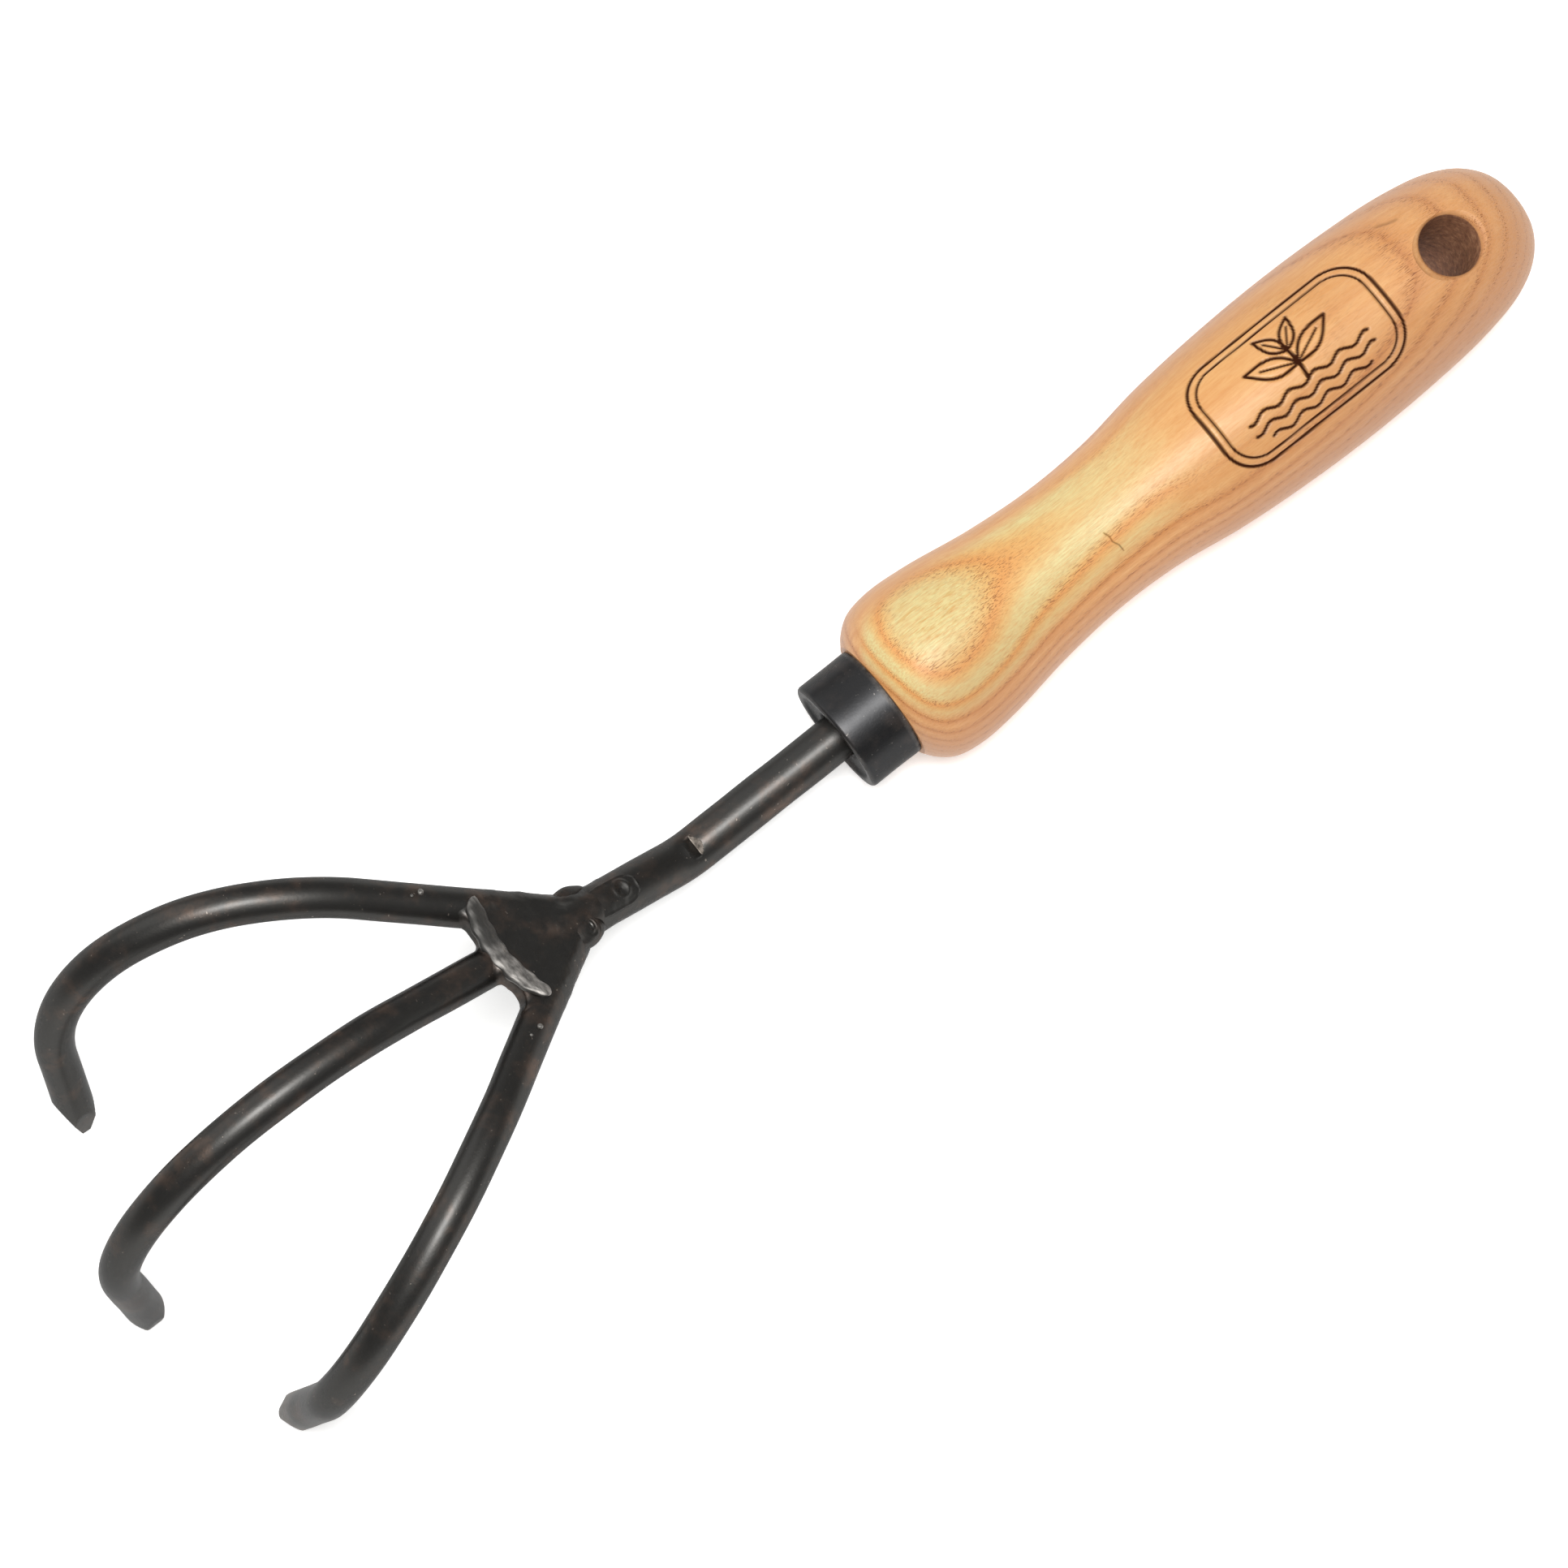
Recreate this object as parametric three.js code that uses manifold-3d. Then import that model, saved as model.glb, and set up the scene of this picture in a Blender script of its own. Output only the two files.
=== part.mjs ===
// Three-tine hand cultivator with a turned ash handle.
// Millimetres, +Z up, X along the handle with the butt at +X, Y across the tines.
// The tool is drawn from the middle of the ferrule's front face, then set down on its tips and belly.

import * as THREE from "three";
import { mergeVertices } from "three/addons/utils/BufferGeometryUtils.js";
import Module from "manifold-3d";

const manifold = await Module();
manifold.setup();

// Driving dimensions

const GAP = 0.3;
const CUT_MARGIN = 2;

const FERRULE_LENGTH = 10.5;
const FERRULE_RADIUS = 10.6;
const FERRULE_WALL = 1.1;
const FERRULE_FRONT_WALL = 1.4;
const FERRULE_CORNER = 1.3;

const HANDLE_LENGTH = 139.7;
const BELLY_RADIUS = 16.5;
const TANG_DEPTH = 58;
// Stations of the turned outline: distance from the ferrule's rim, radius.
const HANDLE_OUTLINE = [
  [0, 11.4],
  [1.4, 13.2],
  [4.2, 15.2],
  [9, 16.1],
  [16.8, 15.65],
  [29.5, 13.75],
  [42, 12.8],
  [54.5, 13.25],
  [67, 15],
  [80, 16.05],
  [94, BELLY_RADIUS],
  [109, 16.15],
  [121.5, 15.1],
  [130, 13.2],
  [135.2, 10.4],
  [138.5, 6.3],
  [HANDLE_LENGTH, 0],
];
const HANDLE_RINGS = 28;
const HANDLE_SIDES = 36;

// Where the hole's line crosses the handle's axis.
const HOLE_FROM_BUTT = 19;
const HOLE_RADIUS = 5.35;
const HOLE_COUNTERSINK = 1.2;
const HOLE_FLARE = 1;
const HOLE_SIDES = 24;
// The hole's upper mouth leans towards the butt, square to the surface that falls away there.
const HOLE_LEAN = THREE.MathUtils.degToRad(7);
// The handle is driven on by hand, so its hole stands a little askew to the claw.
const HANDLE_TURN = THREE.MathUtils.degToRad(10);

const SHANK_RADIUS = 4.16;
const SHANK_REACH = 32.6;
const SHANK_BEND_RADIUS = 12;
const SHANK_RISE = THREE.MathUtils.degToRad(32.6);
const NECK_LENGTH = 32.7;

const TINE_RADIUS = 3.42;
const CENTRE_TINE = {
  rise: THREE.MathUtils.degToRad(33.5),
  splay: 0,
  rootOffset: 0,
  root: 33,
  shoulder: { radius: 49.5, angle: THREE.MathUtils.degToRad(34) },
  hook: { radius: 34.2, angle: THREE.MathUtils.degToRad(87.7) },
  point: 27.6,
};
const OUTER_TINE = {
  rise: THREE.MathUtils.degToRad(38.3),
  splay: THREE.MathUtils.degToRad(30),
  rootOffset: 5.04,
  root: 30.3,
  shoulder: { radius: 45, angle: THREE.MathUtils.degToRad(23.1) },
  hook: { radius: 33.3, angle: THREE.MathUtils.degToRad(96.7) },
  point: 29.1,
};
// The left tine is dressed back further than the right one.
const LEFT_TINE = { ...OUTER_TINE, point: OUTER_TINE.point - 5 };
const OUTER_TOE = 5;
const BEVEL_LENGTH = 10;
const BEVEL_LAND = 2;

const WEB_FRONT = 11.6;
const WEB_BACK = -9;
const WEB_TOP = 4.7;
const WEB_THICKNESS = 2.9;
const WEB_APEX_HALF = 1.2;
const FRONT_WELD_RADIUS = 1.7;
const FRONT_WELD_SPAN = 21;
const FRONT_WELD_HEIGHT = 5;
const SHANK_WELD = { back: -19, front: -10, across: 1.1, halfWidth: 2.6, height: 1.9, lift: 3.6 };
const TOE_WELD = { along: -7.6, across: 4.6, lift: 1, length: 5.6, width: 2.4, height: 3.2 };

const TINE_SIDES = 14;
const TINE_STEPS = 26;
const SHANK_SIDES = 16;
const SHANK_STEPS = 24;
const BEAD_SIDES = 14;
const BEAD_RINGS = 10;

// Materials

function steel(name, color, roughness, metalness) {
  return new THREE.MeshStandardMaterial({ name, color, roughness, metalness });
}

const ash = new THREE.MeshStandardMaterial({ name: "ash", color: 0xc98f4e, roughness: 0.5, metalness: 0 });
const blackSteel = steel("black_steel", 0x2c2b2a, 0.45, 0.6);
const ferruleSteel = steel("ferrule_steel", 0x33363b, 0.4, 0.7);
const weldSteel = steel("weld_steel", 0x5d5a56, 0.6, 0.6);

// Solids

function toSolid(geometry) {
  const bare = geometry.clone();
  bare.deleteAttribute("normal");
  bare.deleteAttribute("uv");
  const merged = mergeVertices(bare, 1e-4);
  const vertProperties = new Float32Array(merged.attributes.position.array);
  const triVerts = new Uint32Array(merged.index.array);
  return new manifold.Manifold(new manifold.Mesh({ numProp: 3, vertProperties, triVerts }));
}

function toMesh(name, solid, material) {
  const { vertProperties, triVerts } = solid.getMesh();
  const geometry = new THREE.BufferGeometry();
  geometry.setAttribute("position", new THREE.BufferAttribute(new Float32Array(vertProperties), 3));
  geometry.setIndex(new THREE.BufferAttribute(new Uint32Array(triVerts), 1));
  geometry.computeVertexNormals();
  const mesh = new THREE.Mesh(geometry, material);
  mesh.name = name;
  return mesh;
}

// A turned solid about the X axis from [x, radius] points.
function turned(outline, sides) {
  const points = outline.map(([x, radius]) => new THREE.Vector2(radius, x));
  const geometry = new THREE.LatheGeometry(points, sides);
  geometry.rotateZ(-Math.PI / 2);
  return toSolid(geometry);
}

// Bars

// A bar's centre line in one plane: straight lengths and arcs, turning from forward towards side.
class BarLine extends THREE.Curve {
  constructor(start, forward, side, stretches) {
    super();
    this.start = start;
    this.forward = forward;
    this.side = side;
    this.stretches = stretches;
    this.length = stretches.reduce((sum, { length }) => sum + length, 0);
  }

  // Distances along forward and side, and the turn so far, at a distance along the bar.
  trace(distance) {
    let along = 0;
    let across = 0;
    let turn = 0;
    let left = distance;
    for (const { length, radius } of this.stretches) {
      const step = Math.min(left, length);
      const next = radius ? turn + step / radius : turn;
      if (radius) {
        along += radius * (Math.sin(next) - Math.sin(turn));
        across += radius * (Math.cos(turn) - Math.cos(next));
      } else {
        along += step * Math.cos(turn);
        across += step * Math.sin(turn);
      }
      turn = next;
      left -= step;
    }
    return { along, across, turn };
  }

  getPoint(t, target = new THREE.Vector3()) {
    const { along, across } = this.trace(t * this.length);
    return target.copy(this.start).addScaledVector(this.forward, along).addScaledVector(this.side, across);
  }

  endDirection() {
    const { turn } = this.trace(this.length);
    return this.forward.clone().multiplyScalar(Math.cos(turn)).addScaledVector(this.side, Math.sin(turn));
  }

  endNormal() {
    const { turn } = this.trace(this.length);
    return this.side.clone().multiplyScalar(Math.cos(turn)).addScaledVector(this.forward, -Math.sin(turn));
  }
}

function straight(length) {
  return { length };
}

function arc({ radius, angle }) {
  return { length: radius * angle, radius };
}

function rod(line, radius, sides, steps) {
  const section = new THREE.Shape().absarc(0, 0, radius, 0, 2 * Math.PI);
  const options = { steps, extrudePath: line, bevelEnabled: false, curveSegments: sides / 2 };
  return toSolid(new THREE.ExtrudeGeometry(section, options));
}

// Handle

function handleOutline() {
  const stations = HANDLE_OUTLINE.map(([x, radius]) => new THREE.Vector3(x, radius, 0));
  const curve = new THREE.CatmullRomCurve3(stations, false, "centripetal");
  const points = curve.getSpacedPoints(HANDLE_RINGS).map((p) => [FERRULE_LENGTH + p.x, Math.max(p.y, 0)]);
  points[HANDLE_RINGS][1] = 0;
  return points;
}

function handleSolid() {
  const boreRadius = SHANK_RADIUS + GAP;
  const tenonRadius = FERRULE_RADIUS - FERRULE_WALL - GAP;
  const tenonFront = FERRULE_FRONT_WALL + GAP;
  const rimBack = FERRULE_LENGTH + GAP;
  const wood = turned(
    [
      [TANG_DEPTH + GAP, 0],
      [TANG_DEPTH + GAP, boreRadius],
      [tenonFront, boreRadius],
      [tenonFront, tenonRadius],
      [rimBack, tenonRadius],
      [rimBack, HANDLE_OUTLINE[0][1]],
      ...handleOutline().slice(1),
    ],
    HANDLE_SIDES,
  );
  return wood.subtract(hangHole());
}

// The hang hole right through the handle, with a shallow countersink at each mouth.
function hangHole() {
  const crossing = HANDLE_LENGTH - HOLE_FROM_BUTT;
  const sway = BELLY_RADIUS * Math.tan(HOLE_LEAN);
  const top = radiusAt(crossing + sway);
  const bottom = radiusAt(crossing - sway);
  const reach = BELLY_RADIUS + CUT_MARGIN;
  const wide = HOLE_RADIUS + HOLE_COUNTERSINK + CUT_MARGIN;
  const outline = [
    [-reach, 0],
    [-reach, wide],
    [-bottom - HOLE_FLARE, wide],
    [-bottom + HOLE_COUNTERSINK, HOLE_RADIUS],
    [top - HOLE_COUNTERSINK, HOLE_RADIUS],
    [top + HOLE_FLARE, wide],
    [reach, wide],
    [reach, 0],
  ];
  const points = outline.map(([z, radius]) => new THREE.Vector2(radius, z));
  const cutter = new THREE.LatheGeometry(points, HOLE_SIDES);
  cutter.rotateZ(-HOLE_LEAN);
  cutter.rotateX(Math.PI / 2 + HANDLE_TURN);
  cutter.translate(FERRULE_LENGTH + crossing, 0, 0);
  return toSolid(cutter);
}

// The outline's radius at a distance from the ferrule's rim, by straight lines between stations.
function radiusAt(distance) {
  const next = HANDLE_OUTLINE.findIndex(([x]) => x >= distance);
  const [x0, r0] = HANDLE_OUTLINE[next - 1];
  const [x1, r1] = HANDLE_OUTLINE[next];
  return r0 + ((r1 - r0) * (distance - x0)) / (x1 - x0);
}

// Ferrule

function ferruleSolid() {
  const hole = SHANK_RADIUS + GAP;
  const inside = FERRULE_RADIUS - FERRULE_WALL;
  const corner = [60, 30].map((degrees) => {
    const angle = THREE.MathUtils.degToRad(degrees);
    return [
      FERRULE_CORNER * (1 - Math.sin(angle)),
      FERRULE_RADIUS - FERRULE_CORNER * (1 - Math.cos(angle)),
    ];
  });
  return turned(
    [
      [0, hole],
      [0, FERRULE_RADIUS - FERRULE_CORNER],
      ...corner,
      [FERRULE_CORNER, FERRULE_RADIUS],
      [FERRULE_LENGTH, FERRULE_RADIUS],
      [FERRULE_LENGTH, inside],
      [FERRULE_FRONT_WALL, inside],
      [FERRULE_FRONT_WALL, hole],
      [0, hole],
    ],
    HANDLE_SIDES,
  );
}

// Shank

const junction = new THREE.Vector3(
  -SHANK_REACH - NECK_LENGTH * Math.cos(SHANK_RISE),
  0,
  NECK_LENGTH * Math.sin(SHANK_RISE),
);

function shankLine(extra) {
  const tangent = SHANK_BEND_RADIUS * Math.tan(SHANK_RISE / 2);
  return new BarLine(
    new THREE.Vector3(TANG_DEPTH, 0, 0),
    new THREE.Vector3(-1, 0, 0),
    new THREE.Vector3(0, 0, 1),
    [
      straight(TANG_DEPTH + SHANK_REACH - tangent),
      arc({ radius: SHANK_BEND_RADIUS, angle: SHANK_RISE }),
      straight(NECK_LENGTH - tangent + extra),
    ],
  );
}

function shankSolid(growth) {
  return rod(shankLine(growth), SHANK_RADIUS + growth, SHANK_SIDES, SHANK_STEPS);
}

// Tines

function tineLine(tine, hand, toe, extra) {
  const level = new THREE.Vector3(-Math.cos(tine.rise), 0, Math.sin(tine.rise));
  const forward = level.multiplyScalar(Math.cos(tine.splay));
  forward.y = hand * Math.sin(tine.splay);
  const down = new THREE.Vector3(-Math.sin(tine.rise), 0, -Math.cos(tine.rise));
  const start = junction.clone().addScaledVector(new THREE.Vector3(0, hand, 0), tine.rootOffset);
  start.addScaledVector(forward, -toe);
  const stretches = [
    straight(tine.root + toe),
    arc(tine.shoulder),
    arc(tine.hook),
    straight(tine.point + extra),
  ];
  return new BarLine(start, forward, down, stretches);
}

// The two bevels that bring a tine's end to a chisel edge across the hook's plane.
function bevelCutters(line) {
  const tip = line.getPoint(1);
  const direction = line.endDirection();
  const normal = line.endNormal();
  const side = new THREE.Vector3().crossVectors(direction, normal);
  const basis = new THREE.Matrix4().makeBasis(direction, normal, side).setPosition(tip);
  const slope = (TINE_RADIUS - BEVEL_LAND / 2) / BEVEL_LENGTH;
  const far = BEVEL_LENGTH + CUT_MARGIN;
  const wide = TINE_RADIUS + CUT_MARGIN;
  return [1, -1].map((face) => {
    const wedge = new THREE.Shape([
      new THREE.Vector2(CUT_MARGIN, face * (BEVEL_LAND / 2 - slope * CUT_MARGIN)),
      new THREE.Vector2(CUT_MARGIN, face * wide),
      new THREE.Vector2(-far, face * wide),
      new THREE.Vector2(-far, face * (BEVEL_LAND / 2 + slope * far)),
    ]);
    const prism = new THREE.ExtrudeGeometry(wedge, { depth: 2 * wide, bevelEnabled: false });
    prism.translate(0, 0, -wide);
    prism.applyMatrix4(basis);
    return toSolid(prism);
  });
}

function tineSolid(tine, hand, toe) {
  const line = tineLine(tine, hand, toe, 0);
  const bar = rod(line, TINE_RADIUS, TINE_SIDES, TINE_STEPS);
  return bevelCutters(line).reduce((solid, cutter) => solid.subtract(cutter), bar);
}

// A tine's bar with the gap added all round, for cutting its neighbours.
function grownTine(tine, hand, toe) {
  return rod(tineLine(tine, hand, toe + GAP, GAP), TINE_RADIUS + GAP, TINE_SIDES, TINE_STEPS);
}

// Web and welds, set in the neck's own directions: ahead along the neck, across, and up off it.

const webBasis = new THREE.Matrix4()
  .makeBasis(
    new THREE.Vector3(-Math.cos(CENTRE_TINE.rise), 0, Math.sin(CENTRE_TINE.rise)),
    new THREE.Vector3(0, -1, 0),
    new THREE.Vector3(Math.sin(CENTRE_TINE.rise), 0, Math.cos(CENTRE_TINE.rise)),
  )
  .setPosition(junction);

function inWeb(geometry) {
  geometry.applyMatrix4(webBasis);
  return toSolid(geometry);
}

function webSolid() {
  const frontHalf = OUTER_TINE.rootOffset + WEB_FRONT * Math.tan(OUTER_TINE.splay);
  const outline = new THREE.Shape([
    new THREE.Vector2(WEB_BACK, -WEB_APEX_HALF),
    new THREE.Vector2(WEB_FRONT, -frontHalf),
    new THREE.Vector2(WEB_FRONT, frontHalf),
    new THREE.Vector2(WEB_BACK, WEB_APEX_HALF),
  ]);
  const plate = new THREE.ExtrudeGeometry(outline, { depth: WEB_THICKNESS, bevelEnabled: false });
  plate.translate(0, 0, WEB_TOP - WEB_THICKNESS);
  return inWeb(plate);
}

function frontWeldSolid(growth) {
  const radius = FRONT_WELD_RADIUS + growth;
  const straightLength = FRONT_WELD_SPAN + 2 * growth - 2 * radius;
  const bead = new THREE.CapsuleGeometry(radius, straightLength, BEAD_RINGS / 2, BEAD_SIDES);
  bead.translate(WEB_FRONT, 0, FRONT_WELD_HEIGHT);
  return inWeb(bead);
}

function shankWeldSolid(growth) {
  const { back, front, across, halfWidth, height, lift } = SHANK_WELD;
  const bead = new THREE.SphereGeometry(1, BEAD_SIDES, BEAD_RINGS);
  bead.scale((front - back) / 2 + growth, halfWidth + growth, height + growth);
  bead.translate((back + front) / 2, across, lift);
  return inWeb(bead);
}

function toeWeldSolid(hand, growth) {
  const { along, across, lift, length, width, height } = TOE_WELD;
  const bead = new THREE.SphereGeometry(1, BEAD_SIDES, BEAD_RINGS);
  bead.scale(length / 2 + growth, width / 2 + growth, height / 2 + growth);
  bead.translate(along, -hand * across, lift);
  return inWeb(bead);
}

// Assembly

const grownShank = shankSolid(GAP);
const grownCentre = grownTine(CENTRE_TINE, 1, -GAP);
const grownLeft = grownTine(LEFT_TINE, 1, OUTER_TOE);
const grownRight = grownTine(OUTER_TINE, -1, OUTER_TOE);

function without(solid, ...others) {
  return others.reduce((rest, other) => rest.subtract(other), solid);
}

const centreTine = tineSolid(CENTRE_TINE, 1, -2 * GAP);
const leftTine = without(tineSolid(LEFT_TINE, 1, OUTER_TOE), grownShank, grownCentre);
const rightTine = without(tineSolid(OUTER_TINE, -1, OUTER_TOE), grownShank, grownCentre);
const bars = [grownShank, grownCentre, grownLeft, grownRight];
const web = without(webSolid(), ...bars, frontWeldSolid(GAP), shankWeldSolid(GAP));
const shankWeld = without(shankWeldSolid(0), grownShank);
const leftToeWeld = without(toeWeldSolid(1, 0), ...bars, webSolid());
const rightToeWeld = without(toeWeldSolid(-1, 0), ...bars, webSolid());

const tool = new THREE.Group();
tool.add(
  toMesh("handle", handleSolid(), ash),
  toMesh("ferrule", ferruleSolid(), ferruleSteel),
  toMesh("shank", shankSolid(0), blackSteel),
  toMesh("centre_tine", centreTine, blackSteel),
  toMesh("left_tine", leftTine, blackSteel),
  toMesh("right_tine", rightTine, blackSteel),
  toMesh("gusset_plate", web, blackSteel),
  toMesh("front_weld", without(frontWeldSolid(0), ...bars), weldSteel),
  toMesh("shank_weld", shankWeld, blackSteel),
  toMesh("left_toe_weld", leftToeWeld, blackSteel),
  toMesh("right_toe_weld", rightToeWeld, blackSteel),
);

// The origin is under the middle of the tool, on the surface that it lies on.
const box = new THREE.Box3().setFromObject(tool);
const middle = box.getCenter(new THREE.Vector3());
tool.position.set(-middle.x, -middle.y, -box.min.z);
tool.updateMatrixWorld(true);

const group = new THREE.Group();
group.add(tool);

export default group;
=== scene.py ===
"""Hand cultivator: fine surfaces and materials round the CAD frame.

Shapes are drawn in millimetres from the datum, the middle of the ferrule's front face:
x towards the butt, y across the tines, z off the back of the claw.
"""

import math

import bmesh
import bpy
import numpy as np
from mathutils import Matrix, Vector, noise


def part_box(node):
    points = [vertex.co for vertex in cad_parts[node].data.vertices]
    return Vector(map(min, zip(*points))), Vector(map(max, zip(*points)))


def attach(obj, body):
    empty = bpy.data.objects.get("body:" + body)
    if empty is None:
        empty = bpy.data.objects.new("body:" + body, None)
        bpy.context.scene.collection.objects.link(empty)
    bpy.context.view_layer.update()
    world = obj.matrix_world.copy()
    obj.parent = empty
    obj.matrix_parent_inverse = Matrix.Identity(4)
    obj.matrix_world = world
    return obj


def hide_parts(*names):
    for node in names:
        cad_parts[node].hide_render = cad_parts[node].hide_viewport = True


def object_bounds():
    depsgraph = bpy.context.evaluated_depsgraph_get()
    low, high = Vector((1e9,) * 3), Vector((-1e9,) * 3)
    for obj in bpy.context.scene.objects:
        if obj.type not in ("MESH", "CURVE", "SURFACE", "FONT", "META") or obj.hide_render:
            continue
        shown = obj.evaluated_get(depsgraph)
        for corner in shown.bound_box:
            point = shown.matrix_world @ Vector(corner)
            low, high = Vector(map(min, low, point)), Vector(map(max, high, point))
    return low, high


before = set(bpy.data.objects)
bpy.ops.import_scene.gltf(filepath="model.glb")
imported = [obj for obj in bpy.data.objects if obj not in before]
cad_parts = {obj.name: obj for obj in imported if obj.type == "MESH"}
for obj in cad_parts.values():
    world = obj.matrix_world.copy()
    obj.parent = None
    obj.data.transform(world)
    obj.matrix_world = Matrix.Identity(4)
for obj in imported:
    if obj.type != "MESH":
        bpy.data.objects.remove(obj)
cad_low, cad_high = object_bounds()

MM = 0.001
ferrule_low, ferrule_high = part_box("ferrule")
handle_low, handle_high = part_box("handle")
DATUM = Vector(
    (
        ferrule_low.x,
        (ferrule_low.y + ferrule_high.y) / 2,
        (ferrule_low.z + ferrule_high.z) / 2,
    )
)

# Driving sizes, in millimetres, the same as the CAD's.

FERRULE_LENGTH = (ferrule_high.x - ferrule_low.x) / MM
FERRULE_RADIUS = (ferrule_high.y - ferrule_low.y) / 2 / MM
FERRULE_HOLE = 4.35
FERRULE_WALL = 1.1
BUTT = (handle_high.x - ferrule_low.x) / MM
HANDLE_LENGTH = BUTT - FERRULE_LENGTH

# The turned handle, as (distance from the ferrule's rim, radius).
SHOULDER = [(0, 11.4), (1.4, 13.2), (4.2, 15.2), (9, 16.1), (16.8, 15.65)]
WAIST = [(29.5, 13.75), (42, 12.8), (54.5, 13.25), (67, 15)]
BELLY = [(80, 16.05), (94, 16.5), (109, 16.15), (121.5, 15.1)]
BUTT_ROUND = [(130, 13.2), (135.2, 10.4), (138.5, 6.3), (HANDLE_LENGTH, 0)]
HANDLE_OUTLINE = [*SHOULDER, *WAIST, *BELLY, *BUTT_ROUND]

SHANK_RADIUS = 4.16
SHANK_REACH = 32.6
SHANK_BEND_RADIUS = 12
SHANK_RISE = math.radians(32.6)
NECK_LENGTH = 32.7

# Each tine is a straight root, two arcs as (radius, turn), and a straight point.
TINE_RADIUS = 3.42
CENTRE_TINE = {
    "rise": math.radians(33.5),
    "splay": 0,
    "root_offset": 0,
    "root": 33,
    "shoulder": (49.5, math.radians(34)),
    "hook": (34.2, math.radians(87.7)),
    "point": 27.6,
}
OUTER_TINE = {
    "rise": math.radians(38.3),
    "splay": math.radians(30),
    "root_offset": 5.04,
    "root": 30.3,
    "shoulder": (45, math.radians(23.1)),
    "hook": (33.3, math.radians(96.7)),
    "point": 29.1,
}
LEFT_TINE = {**OUTER_TINE, "point": OUTER_TINE["point"] - 5}
# How far each tine's bar reaches back past the junction.
OUTER_TOE = 5
CENTRE_TOE = 0.3
# How each point was dressed. The cuts towards the back of the hook, towards its inside and on both
# sides each give (distance from the axis at the tip, length over which the bar reaches full size).
# The cuts are turned about the bar, and wear is (strength, length).
LEFT_TIP = {
    "trim": 0,
    "back": (0.52, 11.7),
    "inside": (0.8, 10),
    "sides": (1.3, 9),
    "turn": math.radians(25),
    "wear_and_painted_light": (0.1, 12),
}
CENTRE_TIP = {
    "trim": 0.5,
    "back": (2.2, 5),
    "inside": (0.6, 5),
    "sides": (2.8, 5),
    "turn": 0,
    "wear_and_painted_light": (0.3, 2.5),
}
RIGHT_TIP = {
    "trim": 1.5,
    "back": (2.5, 5),
    "inside": (2.2, 5),
    "sides": (3.1, 4),
    "turn": 0,
    "wear_and_painted_light": (0.3, 15),
}

# The handle is turned about its axis, so that its mark and its hang hole face a little to -Y.
FACING = math.radians(10)
HOLE_LEAN = math.radians(7)
HOLE_AXIS = np.array(
    [
        math.sin(HOLE_LEAN),
        -math.cos(HOLE_LEAN) * math.sin(FACING),
        math.cos(HOLE_LEAN) * math.cos(FACING),
    ]
)
HOLE_FROM_BUTT = 19
HOLE_RADIUS = 5.35
# How far up and down the hole's axis its mouths lie, and the round of their countersinks.
HOLE_MOUTHS = (14.9, 15.3)
HOLE_LIP = 1.5
HOLE_LIP_STARTS = 2.1
# The crack, the blemish and the mark, as (distance from the rim, distance round the handle).
CRACK = [(45.3, 1.9), (45.7, 2.9), (45.6, 3.9), (46.2, 5.1), (46.3, 6.3)]
BLEMISH = [(114.8, -11.3), (116.6, -10.3), (118, -9.8)]
EMBLEM_FROM_RIM = 88.5
EMBLEM_SIZE = (38, 21.5)
EMBLEM_CORNER = 7
EMBLEM_FRAME_GAP = 1.5
BURN_DEPTH = 0.22
CRACK_DEPTH = 0.12
BLEMISH_DEPTH = 0.05
# Surfaces are drawn this far inside the CAD's, so that bumps stay within its box.
HANDLE_SKIN = 0.04
BAR_SKIN = 0.05


# Mesh helpers


def new_object(name, data):
    made = bpy.data.objects.new(name, data)
    bpy.context.collection.objects.link(made)
    return made


def mesh_object(name, points, faces):
    """A mesh object from millimetres in the datum's frame."""
    mesh = bpy.data.meshes.new(name)
    world = np.asarray(points, dtype=float) * MM + np.array(DATUM)
    mesh.from_pydata(world.tolist(), [], faces)
    return new_object(name, mesh)


def add_piece(name, points, faces, slot, node, attributes=None, sharp=35):
    """A piece of the visual model, riding on the root body in place of one CAD node."""
    piece = mesh_object(name, points, faces)
    for label, values in (attributes or {}).items():
        layer = piece.data.attributes.new(label, "FLOAT", "POINT")
        layer.data.foreach_set("value", np.asarray(values, dtype=np.float32))
    finish_surface(piece, sharp)
    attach(piece, "root")
    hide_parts(node)
    return piece


def finish_surface(piece, sharp):
    """Outward faces, smooth shading, and hard edges past an angle in degrees."""
    work = bmesh.new()
    work.from_mesh(piece.data)
    bmesh.ops.recalc_face_normals(work, faces=work.faces)
    limit = math.radians(sharp)
    for face in work.faces:
        face.smooth = True
    for edge in work.edges:
        edge.smooth = len(edge.link_faces) == 2 and edge.calc_face_angle(0) < limit
    work.to_mesh(piece.data)
    work.free()


def tube_faces(rings, sides):
    """Quads between rings of vertices, with a fan to the two end points that follow them."""
    faces = []
    for ring in range(rings - 1):
        for side in range(sides):
            a = ring * sides + side
            b = ring * sides + (side + 1) % sides
            faces.append((a, b, b + sides, a + sides))
    start = rings * sides
    last = (rings - 1) * sides
    for side in range(sides):
        after = (side + 1) % sides
        faces.append((start, after, side))
        faces.append((start + 1, last + side, last + after))
    return faces


def joined(parts):
    """Several (points, faces) as one."""
    points = []
    faces = []
    for part_points, part_faces in parts:
        first = len(points)
        points.extend(part_points)
        faces.extend(tuple(first + i for i in face) for face in part_faces)
    return points, faces


def circle(sides):
    return np.linspace(0, 2 * math.pi, sides, endpoint=False)


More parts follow.
